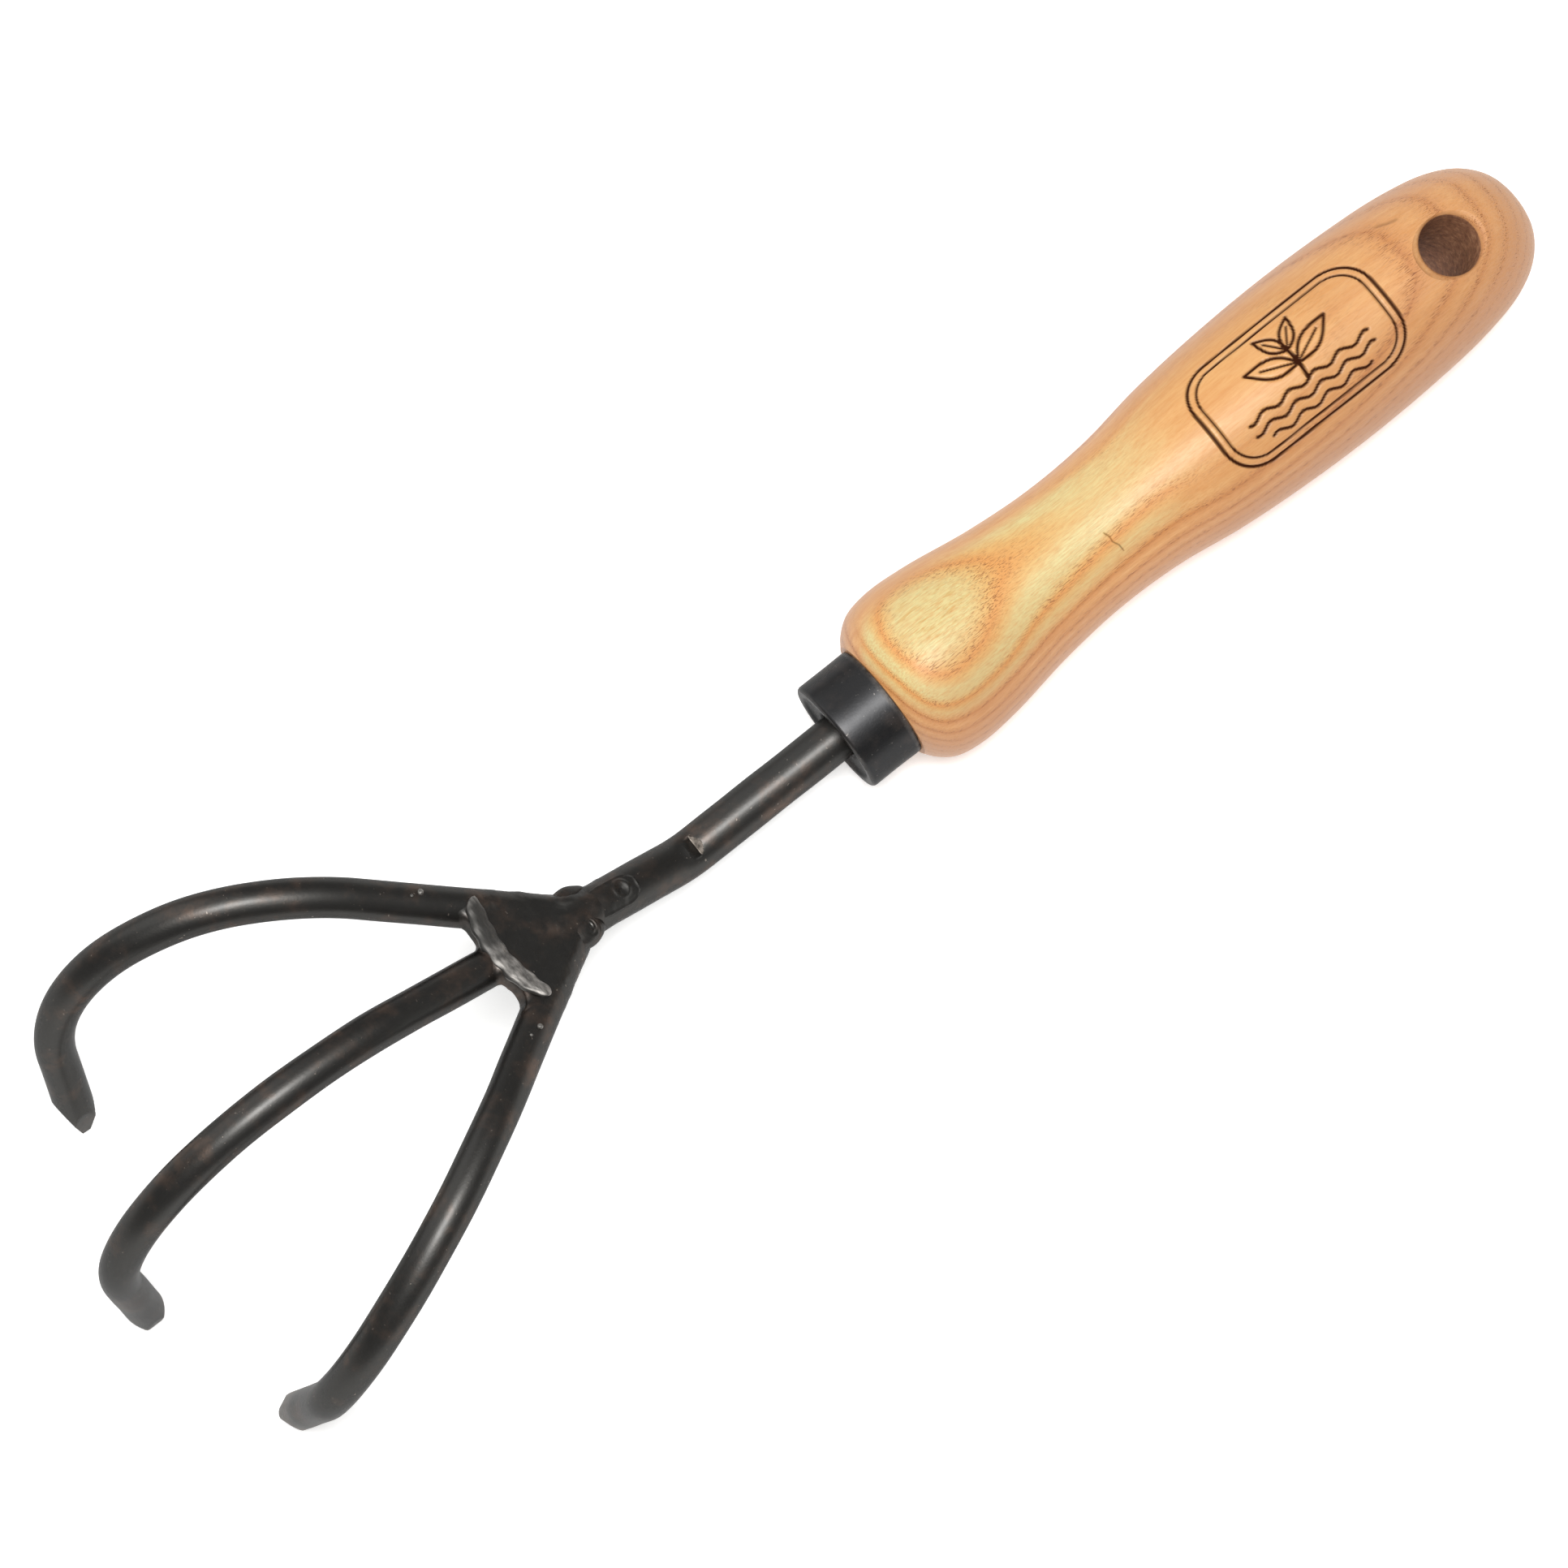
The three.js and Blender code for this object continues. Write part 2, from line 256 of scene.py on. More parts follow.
def ball_directions(rows, sides):
    """Unit directions (ahead, across, up) over a ball, ring by ring from its back to its front."""
    for t in (np.arange(rows) + 0.5) * math.pi / rows:
        for a in circle(sides):
            yield np.array([-math.cos(t), math.sin(t) * math.cos(a), math.sin(t) * math.sin(a)])


def smoothstep(low, high, values):
    """0 at low, 1 at high, eased between; low may be the larger of the two."""
    t = np.clip((values - low) / (high - low), 0, 1)
    return t * t * (3 - 2 * t)


# Bars


class Bar:
    """A bar's centre line in one plane: straight lengths and arcs turning from forward to side."""

    def __init__(self, start, forward, side, stretches):
        self.start = np.array(start, dtype=float)
        self.forward = np.array(forward, dtype=float)
        self.side = np.array(side, dtype=float)
        self.across = np.cross(self.forward, self.side)
        self.stretches = stretches
        self.length = sum(length for length, _ in stretches)

    def trace(self, distance):
        """Way forward, way to the side, and turn, at a distance along the bar."""
        along = across = turn = 0.0
        left = distance
        for number, (length, radius) in enumerate(self.stretches):
            last = number == len(self.stretches) - 1
            step = left if last else min(left, length)
            after = turn + step / radius if radius else turn
            if radius:
                along += radius * (math.sin(after) - math.sin(turn))
                across += radius * (math.cos(turn) - math.cos(after))
            else:
                along += step * math.cos(turn)
                across += step * math.sin(turn)
            turn = after
            left -= step
        return along, across, turn

    def at(self, distance):
        """Centre, direction and in-plane normal (towards side) at a distance along the bar."""
        along, across, turn = self.trace(distance)
        centre = self.start + self.forward * along + self.side * across
        direction = self.forward * math.cos(turn) + self.side * math.sin(turn)
        normal = self.side * math.cos(turn) - self.forward * math.sin(turn)
        return centre, direction, normal

    def skin(self, distance, angle, radius):
        """The point on the bar's surface; angle 0 is the back, away from side."""
        centre, _, normal = self.at(distance)
        return centre + radius * (math.sin(angle) * self.across - math.cos(angle) * normal)


def shank_bar():
    tangent = SHANK_BEND_RADIUS * math.tan(SHANK_RISE / 2)
    stretches = [
        (SHANK_REACH - tangent, None),
        (SHANK_BEND_RADIUS * SHANK_RISE, SHANK_BEND_RADIUS),
        (NECK_LENGTH - tangent, None),
    ]
    return Bar((0, 0, 0), (-1, 0, 0), (0, 0, 1), stretches)


JUNCTION = shank_bar().at(shank_bar().length)[0]


def tine_bar(tine, hand, toe):
    level = np.array([-math.cos(tine["rise"]), 0, math.sin(tine["rise"])])
    forward = level * math.cos(tine["splay"]) + np.array([0, hand * math.sin(tine["splay"]), 0])
    down = np.array([-math.sin(tine["rise"]), 0, -math.cos(tine["rise"])])
    start = JUNCTION + np.array([0, hand * tine["root_offset"], 0]) - forward * toe
    stretches = [
        (tine["root"] + toe, None),
        (tine["shoulder"][0] * tine["shoulder"][1], tine["shoulder"][0]),
        (tine["hook"][0] * tine["hook"][1], tine["hook"][0]),
        (tine["point"], None),
    ]
    return Bar(start, forward, down, stretches)


# The rounded end of a point, as (distance from its end, inset).
END_ROUND = [(0.2, 0.08), (0.05, 0.25), (0, 0.5)]
END_STARTS = 0.45
UNEVEN_DEPTH = 0.07
UNEVEN_LENGTH = 9


def cut(limits, from_tip):
    """How far from the axis a cut leaves metal, at a distance from the tip."""
    at_tip, length = limits
    return at_tip + (TINE_RADIUS - at_tip) * min(from_tip / length, 1)


def make_tine(name, node, tine, tip, hand, toe):
    """A forged bar with a chisel point, its surface a little uneven, and wear at the point."""
    sides = 64
    bar = tine_bar(tine, hand, toe)
    end = bar.length - tip["trim"]
    dressed = max(length for _, length in (tip["back"], tip["inside"], tip["sides"])) + 1
    body = np.linspace(0, end - dressed, 190)
    point = np.linspace(end - dressed, end - END_STARTS, 70)[1:]
    stations = np.concatenate([body, point, [end - before for before, _ in END_ROUND]])
    insets = np.concatenate([np.zeros(len(body) + len(point)), [inset for _, inset in END_ROUND]])
    angles = circle(sides)
    shift = 3 * (hand + 2)
    points = []
    wear_and_painted_light = []
    for distance, inset in zip(stations, insets):
        centre, _, normal = bar.at(distance)
        from_tip = end - distance
        uneven = [
            noise.noise(Vector((distance / UNEVEN_LENGTH, math.cos(a) * 0.6, math.sin(a) * 0.6 + shift)))
            for a in angles
        ]
        radius = TINE_RADIUS - BAR_SKIN + UNEVEN_DEPTH * np.array(uneven)
        c, s = math.cos(tip["turn"]), math.sin(tip["turn"])
        depth = radius * np.cos(angles + tip["turn"])
        side = radius * np.sin(angles + tip["turn"])
        depth = np.clip(depth, inset - cut(tip["back"], from_tip), cut(tip["inside"], from_tip) - inset)
        side = np.clip(side, inset - cut(tip["sides"], from_tip), cut(tip["sides"], from_tip) - inset)
        thick = depth * c + side * s
        wide = side * c - depth * s
        points.extend(centre + np.outer(thick, normal) + np.outer(wide, bar.across))
        strength, worn = tip["wear_and_painted_light"]
        wear_and_painted_light.extend([strength * float(smoothstep(worn, 0.3, from_tip))] * sides)
    centre, _, normal = bar.at(end)
    points.append(bar.at(0)[0])
    points.append(centre + normal * (tip["inside"][0] - tip["back"][0]) / 2)
    wear_and_painted_light += [0.0, tip["wear_and_painted_light"][0]]
    faces = tube_faces(len(stations), sides)
    return add_piece(name, points, faces, "black_steel", node, {"wear_and_painted_light": wear_and_painted_light})


# Handle


def handle_radius(distance):
    """The outline's radius at a distance from the ferrule's rim."""
    return np.interp(distance, HANDLE_CURVE[:, 0], HANDLE_CURVE[:, 1])


def handle_curve():
    """Centripetal Catmull-Rom through the outline's stations, as (distance, radius) rows."""
    stations = np.array(HANDLE_OUTLINE, dtype=float)
    before = 2 * stations[0] - stations[1]
    after = 2 * stations[-1] - stations[-2]
    knots = np.vstack([before, stations, after])
    curve = []
    for a, b, c, d in zip(knots, knots[1:], knots[2:], knots[3:]):
        t1 = np.linalg.norm(b - a) ** 0.5
        t2 = t1 + np.linalg.norm(c - b) ** 0.5
        t3 = t2 + np.linalg.norm(d - c) ** 0.5
        for t in np.linspace(t1, t2, 24, endpoint=False):
            ab = a + (b - a) * t / t1
            bc = b + (c - b) * (t - t1) / (t2 - t1)
            cd = c + (d - c) * (t - t2) / (t3 - t2)
            abc = ab + (bc - ab) * t / t2
            bcd = bc + (cd - bc) * (t - t1) / (t3 - t1)
            curve.append(abc + (bcd - abc) * (t - t1) / (t2 - t1))
    curve.append(stations[-1])
    return np.array(curve)


HANDLE_CURVE = handle_curve()


def spaced(stops):
    """Distances from (start, step) stops to a final end, evenly spaced within each stretch."""
    values = []
    for (start, step), (end, _) in zip(stops, stops[1:]):
        count = max(1, round((end - start) / step))
        values.extend(np.linspace(start, end, count, endpoint=False))
    values.append(stops[-1][0])
    return np.array(values)


def segment_distance(p, q, ends):
    """Distance from each (p, q) to the polyline through ends."""
    best = np.full(p.shape, 1e9)
    for (x0, y0), (x1, y1) in zip(ends, ends[1:]):
        dx, dy = x1 - x0, y1 - y0
        t = np.clip(((p - x0) * dx + (q - y0) * dy) / (dx * dx + dy * dy), 0, 1)
        best = np.minimum(best, np.hypot(p - x0 - t * dx, q - y0 - t * dy))
    return best


def rounded_box_distance(p, q, half_length, half_width, corner):
    """Signed distance to a rounded rectangle's edge."""
    dx = np.abs(p) - half_length + corner
    dy = np.abs(q) - half_width + corner
    outside = np.hypot(np.maximum(dx, 0), np.maximum(dy, 0))
    return outside + np.minimum(np.maximum(dx, dy), 0) - corner


def leaf(base, angle, length, bulge):
    """A leaf's outline as a closed polyline from its base."""
    t = np.linspace(0, 1, 15)
    side = bulge * np.sin(math.pi * t) * (1 - 0.35 * t)
    upper = np.column_stack([t * length, side])
    lower = np.column_stack([t * length, -side])[-2::-1]
    outline = np.vstack([upper, lower])
    c, s = math.cos(angle), math.sin(angle)
    turned = outline @ np.array([[c, s], [-s, c]])
    return (turned + np.array(base)).tolist()


def emblem_burn(p, q):
    """How deeply the branding iron marked each point, 0 to 1: a sprig over furrows in a frame."""
    half_length, half_width = EMBLEM_SIZE[0] / 2, EMBLEM_SIZE[1] / 2
    frame_edge = np.abs(rounded_box_distance(p, q, half_length, half_width, EMBLEM_CORNER))
    inner_edge = np.abs(
        rounded_box_distance(
            p, q, half_length - EMBLEM_FRAME_GAP, half_width - EMBLEM_FRAME_GAP, 0.8 * EMBLEM_CORNER
        )
    )
    lines = [(frame_edge, 0.26), (inner_edge, 0.16)]
    for row, reach in ((-7.4, 10.5), (-5.2, 13), (-3, 13)):
        xs = np.linspace(-reach, reach, 40)
        furrow = np.column_stack([xs, row + 0.5 * np.sin(xs * 1.15)])
        lines.append((segment_distance(p, q, furrow.tolist()), 0.24))
    lines.append((segment_distance(p, q, [(0, -3), (0.3, 0.5), (0, 4.2)]), 0.34))
    for base, angle, length, bulge in (
        ((0.2, 0.2), 0.42, 9.5, 2.1),
        ((0.2, 0.2), math.pi - 0.42, 9.5, 2.1),
        ((0.1, 3), 0.95, 6.2, 1.5),
        ((0.1, 3), math.pi - 0.95, 6.2, 1.5),
    ):
        lines.append((segment_distance(p, q, leaf(base, angle, length, bulge)), 0.24))
        tip = (base[0] + 0.7 * length * math.cos(angle), base[1] + 0.7 * length * math.sin(angle))
        lines.append((segment_distance(p, q, [base, tip]), 0.13))
    burn = np.zeros(p.shape)
    for distance, half in lines:
        burn = np.maximum(burn, 1 - smoothstep(half * 0.75, half * 0.75 + 0.22, distance))
    return burn


def handle_mesh():
    """The turned outline as a grid, fine where the crack, the emblem and the hang hole are."""
    emblem_low = EMBLEM_FROM_RIM - EMBLEM_SIZE[0] / 2 - 1
    emblem_high = EMBLEM_FROM_RIM + EMBLEM_SIZE[0] / 2 + 1
    hole_low = HANDLE_LENGTH - HOLE_FROM_BUTT - 9
    crack_low, crack_high = 44.9, 47.1
    steps = [(0, 0.35), (6, 1), (crack_low, 0.1), (crack_high, 1)]
    steps += [(emblem_low, 0.25), (emblem_high, 0.7), (hole_low, 0.5), (HANDLE_LENGTH - 4, 0.4)]
    steps += [(HANDLE_LENGTH - 0.8, 0.16), (HANDLE_LENGTH - HANDLE_SKIN, 0.03)]
    along = spaced(steps)
    reach = math.degrees(EMBLEM_SIZE[1] / 2 / handle_radius(EMBLEM_FROM_RIM)) + 3
    around = np.radians(spaced([(-reach, 0.85), (reach, 3), (140, 1.8), (220, 3), (360 - reach, 1)]))[:-1]
    u, phi = np.meshgrid(along, around, indexing="ij")
    radius = handle_radius(u)
    q = (phi - 2 * math.pi * (phi > math.pi)) * radius
    burn = emblem_burn(u - EMBLEM_FROM_RIM, -q) * (np.abs(q) < EMBLEM_SIZE[1])
    crack = 1 - smoothstep(0.05, 0.2, segment_distance(u, q, CRACK))
    blemish = 1 - smoothstep(0.1, 0.6, segment_distance(u, q, BLEMISH))
    radius = np.maximum(radius - HANDLE_SKIN, 0.01)
    radius = radius - BURN_DEPTH * burn - CRACK_DEPTH * crack - BLEMISH_DEPTH * blemish
    burn = np.maximum(burn, np.maximum(0.5 * crack, 0.32 * blemish))
    turn = phi + FACING
    points = np.column_stack(
        [
            (u + FERRULE_LENGTH - HANDLE_SKIN).ravel(),
            (-radius * np.sin(turn)).ravel(),
            (radius * np.cos(turn)).ravel(),
        ]
    )
    rings, sides = u.shape
    ends = [[FERRULE_LENGTH - HANDLE_SKIN, 0, 0], [BUTT - HANDLE_SKIN, 0, 0]]
    points = np.vstack([points, ends])
    faces = tube_faces(rings, sides)
    burns = np.append(burn.ravel(), [0, 0])
    return points, faces, {"burn": burns}


def lathe(outline, origin, direction, sides):
    """Rings of points turned about an axis, from (distance, radius) pairs."""
    first = np.cross(direction, [1, 0, 0] if abs(direction[0]) < 0.9 else [0, 1, 0])
    first /= np.linalg.norm(first)
    second = np.cross(direction, first)
    angles = circle(sides)
    spokes = np.outer(np.cos(angles), first) + np.outer(np.sin(angles), second)
    rings = [origin + direction * distance + radius * spokes for distance, radius in outline]
    return np.vstack(rings)


def hole_cutter():
    """The drill and its rounded countersinks, as a closed tool for the boolean."""
    bends = np.radians([0, 20, 40, 60, 75])
    curve = [(HOLE_LIP * math.sin(a), HOLE_LIP * (1 - math.cos(a))) for a in bends]
    curve += [(2.0, HOLE_LIP + 0.4), (9, HOLE_LIP + 5)]
    outline = []
    for mouth, way in ((HOLE_MOUTHS[1], -1), (HOLE_MOUTHS[0], 1)):
        start = mouth - HOLE_LIP_STARTS
        end = [(way * (start + rise), HOLE_RADIUS + out) for rise, out in curve]
        outline += end[::way]
    sides = 96
    centre = np.array([BUTT - HOLE_FROM_BUTT, 0, 0])
    points = lathe(outline, centre, HOLE_AXIS, sides)
    ends = [centre + HOLE_AXIS * outline[0][0], centre + HOLE_AXIS * outline[-1][0]]
    cutter = mesh_object("hole_cutter", np.vstack([points, ends]), tube_faces(len(outline), sides))
    finish_surface(cutter, 60)
    return cutter


def apply_modifiers(piece):
    """Replaces the piece's mesh by what its modifiers make of it."""
    graph = bpy.context.evaluated_depsgraph_get()
    made = bpy.data.meshes.new_from_object(piece.evaluated_get(graph))
    old = piece.data
    piece.modifiers.clear()
    piece.data = made
    bpy.data.meshes.remove(old)


def make_handle():
    points, faces, attributes = handle_mesh()
    handle = add_piece("ash_handle", points, faces, "ash", "handle", attributes)
    cutter = hole_cutter()
    drill = handle.modifiers.new("hole", "BOOLEAN")
    drill.object = cutter
    drill.operation = "DIFFERENCE"
    drill.solver = "EXACT"
    bpy.context.view_layer.update()
    apply_modifiers(handle)
    bpy.data.objects.remove(cutter)
    finish_surface(handle, 28)
    return handle


# Ferrule

# How far inside the CAD's the cup's two end faces and its turned surfaces lie.
FERRULE_INSET = 0.02
FERRULE_SKIN = 0.04
FERRULE_CORNER = 0.8
FERRULE_DENT = 0.05


def ferrule_outline():
    """A drawn cup: a low lip round the front face, a round corner, and a rolled back rim."""
    front, corner = FERRULE_INSET, FERRULE_CORNER
    radius = FERRULE_RADIUS - 0.03
    outline = [
        (1.1, FERRULE_HOLE),
        (0.78, FERRULE_HOLE + 0.3),
        (0.7, FERRULE_HOLE + 0.8),
        (0.66, 7.4),
        (0.55, 8.0),
        (0.26, 8.45),
        (0.07, 8.8),
        (front, 9.15),
        (front, radius - corner - 0.1),
    ]
    for degrees in range(0, 91, 10):
        a = math.radians(degrees)
        outline.append((front + corner * (1 - math.cos(a)), radius - corner * (1 - math.sin(a))))
    outline += [(2.2, radius), (4, radius - 0.02), (6.5, radius - 0.03), (9.4, radius)]
    back = FERRULE_LENGTH - FERRULE_INSET
    outline += [(back - 0.3, radius), (back - 0.08, radius - 0.08), (back, radius - 0.3)]
    inside = FERRULE_RADIUS - FERRULE_WALL
    outline += [(back, inside + 0.05), (back - 0.2, inside), (1.4, inside), (1.4, FERRULE_HOLE)]
    return outline


def make_ferrule():
    outline = ferrule_outline()
    sides = 128
    points = lathe(outline, np.zeros(3), np.array([1.0, 0, 0]), sides)
    shift = Vector((51.9, 15.3, 29.1))
    dents = FERRULE_DENT * np.array([noise.noise(Vector(p) / 5.0 + shift) for p in points])
    spread = points[:, 1:] / np.linalg.norm(points[:, 1:], axis=1, keepdims=True)
    points[:, 1:] += spread * (dents - FERRULE_SKIN)[:, None]
    faces = []
    count = len(outline)
    for ring in range(count):
        row = ring * sides
        next_row = (ring + 1) % count * sides
        for side in range(sides):
            turn = (side + 1) % sides
            faces.append((row + side, row + turn, next_row + turn, next_row + side))
    reach = np.linalg.norm(points[:, 1:], axis=1)
    # The front lip is worn lacquer; along the back rim at the seam with the wood, a painted highlight is
    # drawn as bare metal.
    lip = np.exp(-(((points[:, 0] - 0.1) / 0.35) ** 2)) * (reach > 8.6)
    painted_seam_highlight = np.exp(-(((points[:, 0] - FERRULE_LENGTH) / 0.4) ** 2))
    wear_and_painted_light = np.maximum(0.12 * lip, 0.6 * painted_seam_highlight)
    return add_piece("ferrule_cup", points, faces, "ferrule_steel", "ferrule", {"wear_and_painted_light": wear_and_painted_light}, sharp=50)


# Shank, with the nick on its bend

NICK_AT = 30.4
NICK_TURN = math.radians(7)
NICK_HALF = 2.0
NICK_DEPTH = 1.0
NICK_WALL = 1.5
NICK_RAMP = 2.8
# The shank's last stretch is drawn down under the web.
SHANK_TAPER = 7
SHANK_TAPER_RATE = 0.16
SHANK_SKIN = 0.1


def nick_shape(distance, across):
    """Depth and mark of the struck nick: a bright bare half-moon wall, and painted shade darkening the
    ramp behind it.
    """
    inside = np.clip(1 - (across / NICK_HALF) ** 2, 0, 1)
    wall = NICK_WALL * inside
    before = NICK_AT - distance
    on_wall = np.clip(1 - before / np.maximum(wall, 0.05), 0, 1)
    on_ramp = np.clip(1 + before / NICK_RAMP, 0, 1) ** 1.4
    shape = np.where(before > 0, on_wall, on_ramp)
    bright = (before > -0.1) & (on_wall > 0.02) & (inside > 0)
    # Painted shade: the ramp behind the wall gets negative marks, which darken it.
    dark = (before <= -0.1) * on_ramp * (inside > 0.05)
    return NICK_DEPTH * shape * inside**0.35, np.where(bright, 1.0, -0.9 * dark)


def make_shank():
    bar = shank_bar()
    sides = 128
    end = bar.length - 1
    before_rim = -6
    steps = [(before_rim, 2), (24, 0.8), (NICK_AT - 2.2, 0.12), (NICK_AT + 3.2, 0.6)]
    stations = spaced([*steps, (end - SHANK_TAPER, 0.5), (end, 1)])
    angles = circle(sides)
    points = []
    wear_and_painted_light = []
    for distance in stations:
        centre, direction, normal = bar.at(max(distance, 0))
        centre = centre + direction * min(distance, 0)
        uneven = np.array(
            [noise.noise(Vector((distance / 8, math.cos(a) * 0.5, math.sin(a) * 0.5))) for a in angles]
        )
        drawn = SHANK_TAPER - (end - distance)
        radius = SHANK_RADIUS - SHANK_SKIN + 0.06 * uneven - SHANK_TAPER_RATE * max(drawn, 0)
        across = radius * np.sin(angles + NICK_TURN)
        on_back = np.cos(angles + NICK_TURN) > 0
        depth, bright = nick_shape(distance, across)
        radius = radius - depth * on_back
        deep = np.outer(radius * np.cos(angles), normal)
        wide = np.outer(radius * np.sin(angles), bar.across)
        points.extend(centre + deep + wide)
        # The nick's mark: bare metal on its wall, and painted shade, as negative values, in the hollow
        # behind it.
        wear_and_painted_light.extend((bright * on_back).tolist())
    rim_centre, direction, _ = bar.at(0)
    points += [rim_centre + direction * before_rim, bar.at(end)[0]]
    wear_and_painted_light += [0, 0]
    faces = tube_faces(len(stations), sides)
    return add_piece("forged_shank", points, faces, "black_steel", "shank", {"wear_and_painted_light": wear_and_painted_light})


# Junction: one smooth web that fills the corners between the bars

WEB_BACK = -9
WEB_BACK_HALF = 2.6
WEB_TOP = 3.5
WEB_THICKNESS = 3.4
WEB_VOXEL = 0.35
WEB_RELAX = 30
# The plate's front edge, as (across, ahead): it is hollow between the bars and climbs up their sides.
WEB_LEFT_EDGE = [(-10.6, 14.2), (-9, 12.3), (-6.6, 12.2), (-4.2, 12.4), (-2.7, 13.2)]
WEB_RIGHT_EDGE = [(2.7, 13.6), (4.2, 13.2), (6.9, 12.6), (9.1, 13.2), (10.6, 15.4)]
WEB_EDGE = [*WEB_LEFT_EDGE, (0, 13.6), *WEB_RIGHT_EDGE]
FORWARD = np.array([-math.cos(CENTRE_TINE["rise"]), 0, math.sin(CENTRE_TINE["rise"])])
UP = np.array([math.sin(CENTRE_TINE["rise"]), 0, math.cos(CENTRE_TINE["rise"])])
ACROSS = np.array([0.0, -1.0, 0.0])


def neck_point(ahead, across, up):
    return JUNCTION + FORWARD * ahead + ACROSS * across + UP * up


def plain_rod(bar, radius, stops, sides=48, count=24):
    """A closed bar; each stop gives (distance, how much thicker than radius it is there)."""
    angles = circle(sides)
    points = []
    ends, extras = zip(*stops)
    for distance in np.linspace(ends[0], ends[-1], count):
        centre, _, normal = bar.at(distance)
        spokes = np.outer(np.cos(angles), normal) + np.outer(np.sin(angles), bar.across)
        points.extend(centre + (radius + np.interp(distance, ends, extras)) * spokes)
    points += [bar.at(ends[0])[0], bar.at(ends[-1])[0]]
    return points, tube_faces(count, sides)


def web_plate():
    """The filler plate: its front edge is drawn point by point, its back narrows to the shank."""
    edge = [(ahead, across) for across, ahead in WEB_EDGE]
    outline = [(WEB_BACK, -WEB_BACK_HALF), *edge, (WEB_BACK, WEB_BACK_HALF)]
    count = len(outline)
    points = [neck_point(a, c, WEB_TOP) for a, c in outline]
    points += [neck_point(a, c, WEB_TOP - WEB_THICKNESS) for a, c in outline]
    faces = [tuple(range(count)), tuple(range(2 * count - 1, count - 1, -1))]
    faces += [(i, (i + 1) % count, (i + 1) % count + count, i + count) for i in range(count)]
    return points, faces


def make_web():
    """Bars and plate fused by a voxel remesh, then relaxed so that the corners become fillets."""
    neck = shank_bar()
    end = neck.length
    outer = [(0, 0.1), (16, 0.05), (22, -0.1), (26, -0.5)]
    centre = [(0, 0.05), (14, 0), (18, -0.15), (21, -0.5)]
    shank = [(end - 19, -0.6), (end - 16, -0.15), (end - 10, 0.1), (end - 2, 0.1), (end + 2, -0.6)]
    parts = [
        plain_rod(neck, SHANK_RADIUS, shank),
        plain_rod(tine_bar(CENTRE_TINE, 1, 2), TINE_RADIUS, centre),
        plain_rod(tine_bar(OUTER_TINE, 1, 7), TINE_RADIUS, outer),
        plain_rod(tine_bar(OUTER_TINE, -1, 7), TINE_RADIUS, outer),
        web_plate(),
    ]
    web = add_piece("gusset_web", *joined(parts), "black_steel", "gusset_plate")
    fuse = web.modifiers.new("fuse", "REMESH")
    fuse.mode = "VOXEL"
    fuse.voxel_size = WEB_VOXEL * MM
    relax = web.modifiers.new("relax", "SMOOTH")
    relax.factor = 0.5
    relax.iterations = WEB_RELAX
    bpy.context.view_layer.update()
    apply_modifiers(web)
    roughen(web)
    finish_surface(web, 80)
    return web


def roughen(piece):
    """Slight hammer and heat marks, moved along each vertex's own normal."""
    vertices = piece.data.vertices
    for vertex, normal in zip(vertices, [v.normal.copy() for v in vertices]):
        place = (vertex.co - DATUM) / MM
        lump = 0.13 * noise.noise(place / 2.6) + 0.05 * noise.noise(place / 0.9)
        vertex.co += normal * lump * MM


# Weld beads

# The tongue's two ends are distances back from the shank's end. Its crater is (distance, turn).
TONGUE_FROM = 19.1
TONGUE_TO = 9.5
TONGUE_NOSE = 3.4
TONGUE_HALF = 3.1
TONGUE_TURN = math.radians(13)
TONGUE_RISE = 0.34
TONGUE_SUNK = 0.12
RIM_WIDTH = 0.45
RIM_RISE = 0.13
CRATER = (49.75, math.radians(7.5))
CRATER_RADIUS = 0.75
CRATER_RIM_RADIUS = 1.4
CRATER_RIM_RISE = 0.14


def bead_grid(rows, columns, place):
    """A closed blister: a grid of (top, bottom) points, sewn together round its border."""
    pairs = [place(t, s) for t in np.linspace(0, 1, rows) for s in np.linspace(-1, 1, columns)]
    points = np.array([top for top, _ in pairs] + [bottom for _, bottom in pairs])
    size = rows * columns
    faces = []
    for i in range(rows - 1):
        for j in range(columns - 1):
            a = i * columns + j
            faces.append((a, a + 1, a + columns + 1, a + columns))
            faces.append((size + a, size + a + columns, size + a + columns + 1, size + a + 1))
    border = list(range(columns))
    border += [i * columns + columns - 1 for i in range(1, rows)]
    border += [(rows - 1) * columns + j for j in range(columns - 2, -1, -1)]
    border += [i * columns for i in range(rows - 2, 0, -1)]
    for a, b in zip(border, border[1:] + border[:1]):
        faces.append((a, size + a, size + b, b))
    return points, faces


